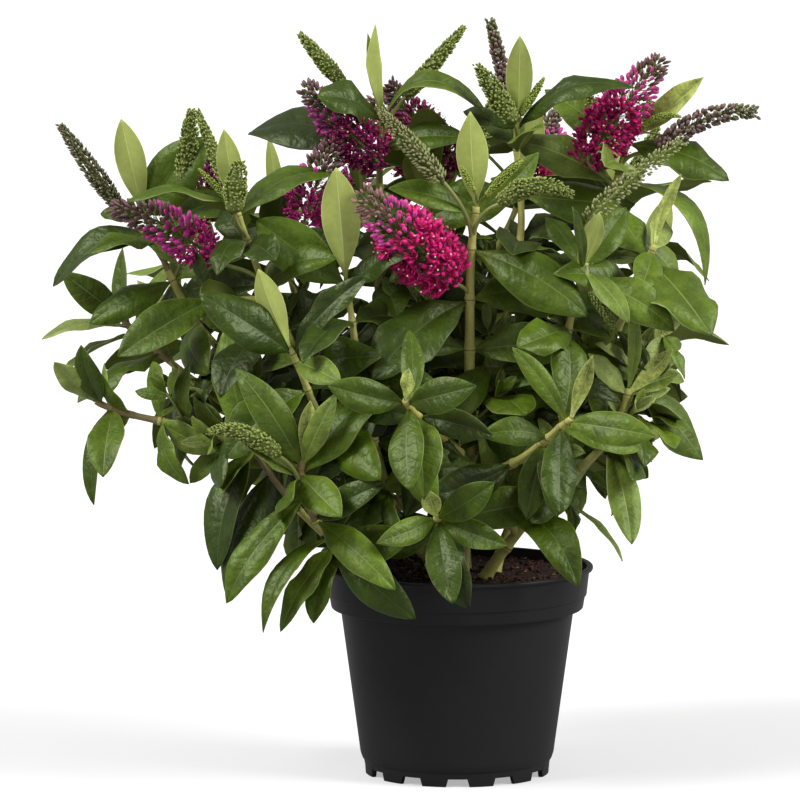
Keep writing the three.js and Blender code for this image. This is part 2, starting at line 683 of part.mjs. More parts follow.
function addLimb(name, curve, foot, tip, flare, level) {
  let solid = tube(curve, taper(foot, tip, flare), LIMB.sides, LIMB.steps, level);
  for (const grown of grownLimbs) {
    solid = solid.subtract(grown);
  }
  solid = largest(solid);
  const grown = taper(foot + LIMB_GAP, tip + LIMB_GAP, flare);
  grownLimbs.push(tube(curve, grown, LIMB.sides, LIMB.steps));
  addMesh(name, solid, 'stem');
  place(name, solid);
}

const stemCurves = new Map();
for (const [name, [x, y], tip, footRadius, tipRadius] of STEMS) {
  const foot = new THREE.Vector3(x, y, SOIL_TOP + CLEAR);
  const lean = vec(tip).sub(foot);
  const heading = lean.clone().addScaledVector(UP, lean.length() * STEM.footRise);
  const curve = bend(foot, heading, vec(tip), lean.clone().addScaledVector(UP, STEM.tipRise));
  stemCurves.set(name, { curve, tipRadius });
  addLimb(name, curve, footRadius, tipRadius, LIMB.flare, SOIL_TOP + CLEAR);
}

// Each mass has one bough from its stem, which ends just short of the mass's root.
const massAxes = new Map();
for (const [name, stem, along, root, shoots] of MASSES) {
  const { curve, tipRadius } = stemCurves.get(stem);
  const atTip = along === 1;
  const stemHeading = curve.getTangentAt(along);
  const foot = curve.getPointAt(along).addScaledVector(stemHeading, atTip ? CLEAR : 0);
  const [tip, aim] = shoots[0];
  const rootPoint = vec(root);
  const travel = rootPoint.clone().sub(foot).normalize();
  const onward = vec(tip).sub(rootPoint).normalize();
  const heading = atTip ? stemHeading : travel.clone().lerp(UP, BOUGH.rise);
  const arrival = travel.clone().add(onward);
  const inner = bend(foot, heading, rootPoint, arrival);
  const outer = bend(rootPoint, arrival, vec(tip), vec(aim));
  const boughRadius = atTip ? tipRadius : tipRadius * BOUGH.slender;
  const gapShare = BOUGH.share + CLEAR / inner.getLength();
  const bough = partOf(inner, 0, BOUGH.share);
  addLimb(`bough_${name}`, bough, boughRadius, TWIG.root, 0, null);
  const points = [...samples(inner, gapShare, 1), ...samples(outer, 0, 1).slice(1)];
  massAxes.set(name, new THREE.CatmullRomCurve3(points));
}

// Twigs and racemes come first, then the leaves, so that no leaf runs into a twig.
const masses = MASSES.map(([name, , , , shoots], index) => {
  const solids = [];
  const main = massAxes.get(name);
  const axes = shoots.map(([tip, aim, join], number) => {
    if (number === 0) {
      return main;
    }
    const start = main.getPointAt(join);
    return bend(start, main.getTangentAt(join), vec(tip), vec(aim));
  });
  axes.forEach((axis, number) => {
    const root = number === 0 ? TWIG.root : TWIG.root * TWIG.side;
    const twig = tube(axis, taper(root, TWIG.tip), TWIG.sides, TWIG.steps);
    solids.push(twig);
    place(name, twig);
  });
  return { name, index, shoots, axes, solids };
});

for (const { name, shoots, axes, solids } of masses) {
  shoots.forEach(([, , , , racemes], number) => {
    for (const raceme of racemes) {
      const node = nodeOn(axes[number], raceme[0]);
      const [stalk, spike] = racemeSolids(node, raceme);
      if (!touches(name, stalk) && !touches(name, spike)) {
        solids.push(stalk, spike);
        place(name, stalk);
        place(name, spike);
      }
    }
  });
}

// Older leaf pairs, from below those of the plan down to the foot of the twig.
function olderPairs(axis, planned, key) {
  const pairs = [];
  let [back, turn] = planned[planned.length - 1];
  for (let step = 0; back + OLDER.gap < axis.getLength() - OLDER.bare; step += 1) {
    back += OLDER.gap;
    turn += 90 + OLDER.turnSpread * (chance(key, step, 1) - 0.5);
    const splay = OLDER.splay + OLDER.splaySpread * (chance(key, step, 2) - 0.5);
    const size = THREE.MathUtils.lerp(OLDER.shortest, OLDER.longest, chance(key, step, 3));
    const length = OLDER.length * size;
    pairs.push([back, turn, splay, length]);
  }
  return pairs;
}

// Both leaves of a pair; the youngest pair of a shoot is still clasped and grows as one.
function growPair(mass, axis, key, row, pair) {
  const [back, turn, splay, length, opposite] = pair;
  const node = nodeOn(axis, back);
  const leaves = [[turn, splay, length]];
  const clasped = row === 0 && splay < LEAF.youngSplay;
  if (opposite !== 0 && !clasped) {
    leaves.push([turn + 180, opposite ?? splay, length * LEAF.oppositeLength]);
  }
  leaves.forEach(([leafTurn, leafSplay, leafLength], side) => {
    const roll = LEAF.rollJitter * (2 * chance(key, row, side + 4) - 1);
    const fitted = fitLeaf(mass.name, node, leafTurn, leafSplay, leafLength, roll);
    if (fitted !== null) {
      mass.solids.push(fitted.leaf);
      place(mass.name, fitted.leaf, fitted.blade);
    }
  });
}

// The leaves of the plan find their places before the older ones lower down.
for (const growsOlder of [false, true]) {
  for (const mass of masses) {
    mass.shoots.forEach(([, , , planned], number) => {
      const axis = mass.axes[number];
      const key = mass.index * 10 + number;
      const pairs = growsOlder ? olderPairs(axis, planned, key) : planned;
      const firstRow = growsOlder ? planned.length : 0;
      pairs.forEach((pair, row) => growPair(mass, axis, key, firstRow + row, pair));
    });
  }
}

// Joined leaves can leave loose slivers and sealed pockets, so only the outer body is kept.
for (const { name, solids } of masses) {
  const whole = largest(largest(wasm.Manifold.union(solids)).asOriginal().simplify(SIMPLIFY));
  addMesh(`foliage_${name}`, whole, 'foliage');
}

export default plant;
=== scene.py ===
# %% [markdown]
# # A hebe shrub in its nursery pot
# The real thing is a young flowering shrub: a few smooth green stems rise from peat in a thin
# black pot, and carry leathery leaves in crossed pairs, with spikes of small crimson flowers
# near the tips. The construction is already packed, so this lesson only dresses it. Each leafy
# mass is grown again by the same rule as the solid it stands for, with finer twigs, real leaf
# outlines and single flowers. Loading comes first, because every later piece is placed by it.

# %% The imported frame
import math
from collections import namedtuple

import bpy
import numpy as np
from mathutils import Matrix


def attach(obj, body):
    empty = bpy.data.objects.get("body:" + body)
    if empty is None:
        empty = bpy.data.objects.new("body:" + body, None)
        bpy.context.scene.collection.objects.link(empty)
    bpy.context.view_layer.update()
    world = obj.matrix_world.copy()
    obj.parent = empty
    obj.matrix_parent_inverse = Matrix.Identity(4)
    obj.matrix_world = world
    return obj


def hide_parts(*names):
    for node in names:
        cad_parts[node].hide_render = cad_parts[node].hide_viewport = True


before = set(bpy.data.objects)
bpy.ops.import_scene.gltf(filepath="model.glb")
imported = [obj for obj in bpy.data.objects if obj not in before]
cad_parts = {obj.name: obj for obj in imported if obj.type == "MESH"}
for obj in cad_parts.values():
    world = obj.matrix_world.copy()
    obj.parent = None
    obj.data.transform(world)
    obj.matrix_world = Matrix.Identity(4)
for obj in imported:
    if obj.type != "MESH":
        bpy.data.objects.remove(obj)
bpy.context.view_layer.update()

MM = 0.001

# %% [markdown]
# ## Camera, floor and light
# A long lens four metres away looks down seven degrees, which keeps the pot's walls nearly
# straight. Two wide lamps stand far off to the left and to the right, so that leaves and stems
# are lit from both sides and keep dark gaps between them. A dim room fills the shade a little.
# It is white only where the camera looks straight at it, because a bright room would wash out
# the greens. Under the plant lies a pale floor that takes a soft shadow.

# %% Camera
VIEW = {"distance": 4.0, "elevation": 7.0, "pixel": 0.6236 * MM, "pixels": 800}
AIM = (-0.0358, 0.0, 0.2347)

camera_data = bpy.data.cameras.new("camera")
camera_data.sensor_width = 36.0
frame_width = VIEW["pixel"] * VIEW["pixels"]
camera_data.lens = camera_data.sensor_width * VIEW["distance"] / frame_width
camera = bpy.data.objects.new("camera", camera_data)
bpy.context.collection.objects.link(camera)
tilt = math.radians(VIEW["elevation"])
camera.rotation_euler = (math.pi / 2 - tilt, 0, 0)
camera.location = (
    AIM[0],
    AIM[1] - VIEW["distance"] * math.cos(tilt),
    AIM[2] + VIEW["distance"] * math.sin(tilt),
)
bpy.context.scene.camera = camera
print("lens in mm:", round(camera_data.lens, 1))

# %% Materials in general
def linear(red, green, blue):
    """Turns a colour from 0 to 255, as the eye reads it, into the linear one shaders need:
    each channel over 255, raised to the power 2.2."""
    return tuple((channel / 255) ** 2.2 for channel in (red, green, blue)) + (1.0,)


def new_material(name, colour, roughness, **sockets):
    """A Principled material with constants on the shader's own sockets."""
    material = bpy.data.materials.new(name)
    material.use_nodes = True
    shader = material.node_tree.nodes["Principled BSDF"]
    shader.inputs["Base Color"].default_value = linear(*colour)
    shader.inputs["Roughness"].default_value = roughness
    for socket, value in sockets.items():
        shader.inputs[socket.replace("_", " ")].default_value = value
    return material


def new_node(tree, kind, inputs=(), **settings):
    """A node with its settings. Each input, by name or number, takes a constant or the output
    socket that feeds it."""
    node = tree.nodes.new(kind)
    for setting, value in settings.items():
        setattr(node, setting, value)
    for place, value in dict(inputs).items():
        if isinstance(value, bpy.types.NodeSocket):
            tree.links.new(value, node.inputs[place])
        else:
            node.inputs[place].default_value = value
    return node


def new_group(name, inputs, outputs):
    """An empty node group with named inputs (name, kind, default) and outputs (name, kind)."""
    group = bpy.data.node_groups.new(name, "ShaderNodeTree")
    for label, kind, default in inputs:
        socket = group.interface.new_socket(label, in_out="INPUT", socket_type=kind)
        socket.default_value = default
    for label, kind in outputs:
        group.interface.new_socket(label, in_out="OUTPUT", socket_type=kind)
    return group, group.nodes.new("NodeGroupInput"), group.nodes.new("NodeGroupOutput")

# %% Floor
FLOOR_HALF = 14.0  # so large that the far edge lies above the picture
FLOOR_GLOW = 0.42  # light that the floor gives by itself, which keeps shadows on it faint
FLOOR_SEEN, FLOOR_BOUNCE = (190, 190, 190), (150, 150, 150)
FLOOR_ROUGH = 0.9


def floor_material():
    """A lit white floor. What is seen of it is pale and glows a little, and what it throws
    back on the plant is weaker, as with a small white table in a large dark room."""
    material = new_material("floor_bounce", FLOOR_BOUNCE, FLOOR_ROUGH, Specular_IOR_Level=0.0)
    tree = material.node_tree
    bounce = tree.nodes["Principled BSDF"]
    seen = new_node(tree, "ShaderNodeBsdfPrincipled", {
        "Base Color": linear(*FLOOR_SEEN), "Roughness": FLOOR_ROUGH, "Specular IOR Level": 0.0,
        "Emission Color": (1, 1, 1, 1), "Emission Strength": FLOOR_GLOW,
    })
    ray = new_node(tree, "ShaderNodeLightPath")
    either = new_node(tree, "ShaderNodeMixShader", {
        0: ray.outputs["Is Camera Ray"], 1: bounce.outputs[0], 2: seen.outputs[0],
    })
    tree.links.new(either.outputs[0], tree.nodes["Material Output"].inputs["Surface"])
    return material


floor_mesh = bpy.data.meshes.new("floor")
corners = [(FLOOR_HALF * x, FLOOR_HALF * y, 0) for x, y in ((-1, -1), (1, -1), (1, 1), (-1, 1))]
floor_mesh.from_pydata(corners, [], [(0, 1, 2, 3)])
floor = bpy.data.objects.new("floor", floor_mesh)
floor_mesh.materials.append(floor_material())
bpy.context.collection.objects.link(floor)

# %% Light
LAMPS = [  # name, degrees to the right of the front, degrees up, width in degrees, strength
    ("key", -64, 44, 26, 2.7),
    ("side", 70, 34, 28, 2.8),
]
AMBIENT, BACKDROP = 0.42, 1.0  # the room as the plant meets it, and as it is seen


def add_lamp(name, side, rise, width, strength):
    """A distant lamp as wide as a large softbox. It hangs side degrees to the right of the
    front and rise degrees up, and shines back along that line."""
    data = bpy.data.lights.new(name, "SUN")
    data.angle = math.radians(width)
    data.energy = strength
    lamp = bpy.data.objects.new(name, data)
    lamp.rotation_euler = (math.radians(90 - rise), 0, math.radians(side))
    bpy.context.collection.objects.link(lamp)


for lamp_facts in LAMPS:
    add_lamp(*lamp_facts)

world = bpy.data.worlds.new("studio")
bpy.context.scene.world = world
world.use_nodes = True
sky = world.node_tree.nodes["Background"]
ray = new_node(world.node_tree, "ShaderNodeLightPath")
strength = new_node(world.node_tree, "ShaderNodeMapRange", {
    "Value": ray.outputs["Is Camera Ray"], "To Min": AMBIENT, "To Max": BACKDROP,
})
world.node_tree.links.new(strength.outputs["Result"], sky.inputs["Strength"])
sky.inputs["Color"].default_value = (1, 1, 1, 1)
bpy.context.scene.view_settings.view_transform = "Standard"
print("lamps:", len(LAMPS))

# %% [markdown]
# ## Meshes from arrays
# Thousands of buds and hundreds of leaves would be slow as single objects, and an export drops
# instances. So every kind of thing is worked out as whole numpy arrays, in millimetres, and put
# into one mesh. A shape here is a list of points with four- and three-sided faces, and each
# face knows its material by number.

# %% Shapes
UP = np.array([0.0, 0.0, 1.0])
RIGHT = np.array([1.0, 0.0, 0.0])
FRONT = np.array([0.0, -1.0, 0.0])
Shape = namedtuple("Shape", "points quads tris quad_slots tri_slots")


def shape(points, quads=(), tris=(), quad_slots=0, tri_slots=0):
    """A shape from points and faces; a single slot number counts for all of its faces."""
    quads = np.asarray(quads, int).reshape(-1, 4)
    tris = np.asarray(tris, int).reshape(-1, 3)
    return Shape(
        np.asarray(points, float).reshape(-1, 3),
        quads,
        tris,
        np.broadcast_to(quad_slots, len(quads)).astype(int),
        np.broadcast_to(tri_slots, len(tris)).astype(int),
    )


def joined(shapes):
    """Several shapes as one: face numbers move up by the points that come before."""
    starts = np.cumsum([0] + [len(one.points) for one in shapes[:-1]])
    moved = [
        one._replace(quads=one.quads + start, tris=one.tris + start)
        for one, start in zip(shapes, starts)
    ]
    return Shape(*map(np.concatenate, zip(*moved)))


def scattered(template, origins, frames, sizes):
    """Copies of a shape: point = origin + (template point x size) turned by the copy's frame,
    whose three rows are the directions that the template's x, y and z take."""
    sizes = np.asarray(sizes, float).reshape(len(origins), -1, 1).transpose(0, 2, 1)
    local = template.points[None] * sizes
    points = origins[:, None] + local @ frames
    step = np.arange(len(origins))[:, None, None] * len(template.points)
    return Shape(
        points.reshape(-1, 3),
        (template.quads[None] + step).reshape(-1, 4),
        (template.tris[None] + step).reshape(-1, 3),
        np.tile(template.quad_slots, len(origins)),
        np.tile(template.tri_slots, len(origins)),
    )


def new_piece(name, whole, materials, replaced, sharp=None):
    """Puts a shape into a mesh with foreach_set, gives it its materials and ties it to the
    part. With an angle, edges that are sharper than it stay crisp."""
    mesh = bpy.data.meshes.new(name)
    corners = np.concatenate([whole.quads.ravel(), whole.tris.ravel()])
    sizes = np.concatenate([np.full(len(whole.quads), 4), np.full(len(whole.tris), 3)])
    mesh.vertices.add(len(whole.points))
    mesh.vertices.foreach_set("co", (whole.points * MM).ravel())
    mesh.loops.add(len(corners))
    mesh.loops.foreach_set("vertex_index", corners)
    mesh.polygons.add(len(sizes))
    mesh.polygons.foreach_set("loop_start", np.cumsum(sizes) - sizes)
    mesh.polygons.foreach_set("material_index", np.concatenate([whole.quad_slots, whole.tri_slots]))
    for material in materials:
        mesh.materials.append(material)
    mesh.update(calc_edges=True)
    mesh.shade_smooth()
    if sharp is not None:
        mesh.set_sharp_from_angle(angle=math.radians(sharp))
    piece = bpy.data.objects.new(name, mesh)
    bpy.context.collection.objects.link(piece)
    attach(piece, "root")
    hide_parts(*replaced)
    print(f"{name}: {2 * len(whole.quads) + len(whole.tris)} triangles")
    return piece

# %% Grids and rings
def grid_faces(rows, columns, closed):
    """Quads between the points of a grid, point number = row x columns + column. Where the
    grid is closed, the last column meets the first one."""
    across = np.arange(columns if closed else columns - 1)
    row = np.arange(rows - 1)[:, None] * columns
    right = (across + 1) % columns
    return np.stack(
        [row + across, row + right, row + columns + right, row + columns + across], axis=-1
    ).reshape(-1, 4)


def full_turn(sides):
    """The angles of evenly spaced points round a ring."""
    return np.arange(sides) * 2 * math.pi / sides


def ringed(rings, poles, row_slots=0):
    """Rings of points, ring x side x 3, as one closed body: quads between the rings, and a fan
    from each of the two poles to the ring beside it. Slots count from fan to fan."""
    rows, sides = rings.shape[:2]
    here = np.arange(sides)
    after = (here + 1) % sides
    last = (rows - 1) * sides
    low, high = np.full(sides, last + sides), np.full(sides, last + sides + 1)
    fans = [[after, here, low], [last + here, last + after, high]]
    slots = np.broadcast_to(row_slots, rows + 1)
    return shape(
        np.concatenate([rings.reshape(-1, 3), poles]),
        grid_faces(rows, sides, closed=True),
        np.concatenate([np.stack(fan, axis=-1) for fan in fans]),
        np.repeat(slots[1:-1], sides),
        np.repeat(slots[[0, -1]], sides),
    )


def turned(profile, sides, row_slots=0):
    """A closed body of revolution round z: the profile is (radius, height) from the lower pole
    to the upper one, and both poles are single points."""
    profile = np.asarray(profile, float)
    angle = full_turn(sides)
    ring = np.stack([np.cos(angle), np.sin(angle), np.zeros(sides)], axis=-1)
    inner = profile[1:-1]
    rings = ring[None] * inner[:, :1, None] + UP * inner[:, 1:, None]
    return ringed(rings, [[0, 0, profile[0, 1]], [0, 0, profile[-1, 1]]], row_slots)

# %% Chance and noise
def chance(first, second, third):
    """A repeatable number from 0 to 1 for three keys: the fraction of a large sine. A key that
    is a plain number only keeps one use apart from the others."""
    value = np.sin(first * 12.9898 + second * 78.233 + third * 37.719) * 43758.5453
    return value - np.floor(value)


def noise(x, y, key):
    """Smooth noise from -1 to 1: chance numbers on the whole points of a plane, blended
    between neighbours by 3t^2 - 2t^3."""
    x_low, y_low = np.floor(x), np.floor(y)
    x_part, y_part = x - x_low, y - y_low
    x_blend = x_part * x_part * (3 - 2 * x_part)
    y_blend = y_part * y_part * (3 - 2 * y_part)
    lower, upper = (
        chance(x_low, row, key) * (1 - x_blend) + chance(x_low + 1, row, key) * x_blend
        for row in (y_low, y_low + 1)
    )
    return 2 * (lower * (1 - y_blend) + upper * y_blend) - 1

# %% Curves
Path = namedtuple("Path", "points travel")  # dense points and the way walked up to each
BEND = 0.36  # reach of a curve's handles, over the distance between its ends
SECTION_POINTS = 48


def unit(vectors):
    """Vectors at length one."""
    vectors = np.asarray(vectors, float)
    return vectors / np.linalg.norm(vectors, axis=-1, keepdims=True)


def path(points):
    """A path through points, with the way walked along it."""
    steps = np.linalg.norm(np.diff(points, axis=0), axis=1)
    return Path(points, np.concatenate([[0], np.cumsum(steps)]))


def bend(start, heading, end, aim, count=64):
    """A cubic curve that leaves the start along a heading and reaches the end along an aim:
    (1-t)^3 a + 3(1-t)^2 t b + 3(1-t) t^2 c + t^3 d."""
    start, end = np.asarray(start, float), np.asarray(end, float)
    reach = np.linalg.norm(end - start) * BEND
    near, far = start + unit(heading) * reach, end - unit(aim) * reach
    t = np.linspace(0, 1, count + 1)[:, None]
    shares = ((1 - t) ** 3, 3 * (1 - t) ** 2 * t, 3 * (1 - t) * t**2, t**3)
    return path(sum(share * point for share, point in zip(shares, (start, near, far, end))))


def spot(way, distance):
    """Points and headings at distances along a path."""
    distance = np.clip(np.asarray(distance, float), 0, way.travel[-1])
    slopes = unit(np.gradient(way.points, way.travel, axis=0))
    here, heading = (
        np.stack([np.interp(distance, way.travel, column) for column in table.T], axis=-1)
        for table in (way.points, slopes)
    )
    return here, unit(heading)


def section(way, start, end):
    """The part of a path between two shares of its length."""
    distance = np.linspace(start, end, SECTION_POINTS) * way.travel[-1]
    return path(spot(way, distance)[0])


def chain(*ways):
    """Paths that follow each other as one path."""
    return path(np.concatenate([ways[0].points] + [way.points[1:] for way in ways[1:]]))


def carried_ring(way, distance, radius, sides):
    """A round section carried along a path. Its first hand starts towards +Y and is turned
    only as far as the path itself turns, so the tube has no twist. Radius may be given for
    each station, or for each station and side. Both ends are closed with a fan."""
    centre, heading = spot(way, distance)
    hand = np.zeros_like(centre)
    hand[0] = [0, 1, 0]
    for k in range(len(centre)):  # each station starts from the hand of the one before
        before = hand[max(k - 1, 0)]
        hand[k] = unit(before - heading[k] * (before @ heading[k]))
    other = np.cross(heading, hand)
    angle = full_turn(sides)[None, :, None]
    radius = np.asarray(radius, float).reshape(len(centre), -1, 1)
    ring = hand[:, None] * np.cos(angle) + other[:, None] * np.sin(angle)
    return ringed(centre[:, None] + ring * radius, centre[[0, -1]])

# %% [markdown]
# ## The planting plan
# The plan is the one that the solids were built from. Six stems rise from the soil, each mass
# leaves its stem at a share of the stem's length, and its shoots end at named tips. Leaves stand
# in pairs at nodes, each pair a quarter turn on from the last, which is what makes a hebe look
# like a hebe. The pairs near the tips are listed; the older pairs lower down come from the rule.

# %% Stems
SOIL_TOP = 125.3
STEMS = [  # name, foot on the soil, tip, radius at foot and tip
    ["stem_main", [2, -8], [7, -31, 204], 4.7, 3.7],
    ["stem_right", [17, -22], [58, -32, 188], 3.6, 2.9],
    ["stem_left", [-11, -19], [-40, -42, 174], 3.7, 2.9],
    ["stem_back_left", [-13, 9], [-42, 30, 190], 3.7, 2.9],
    ["stem_back", [5, 15], [4, 48, 205], 3.7, 2.9],
    ["stem_back_right", [23, 4], [50, 28, 198], 3.6, 2.9],
]

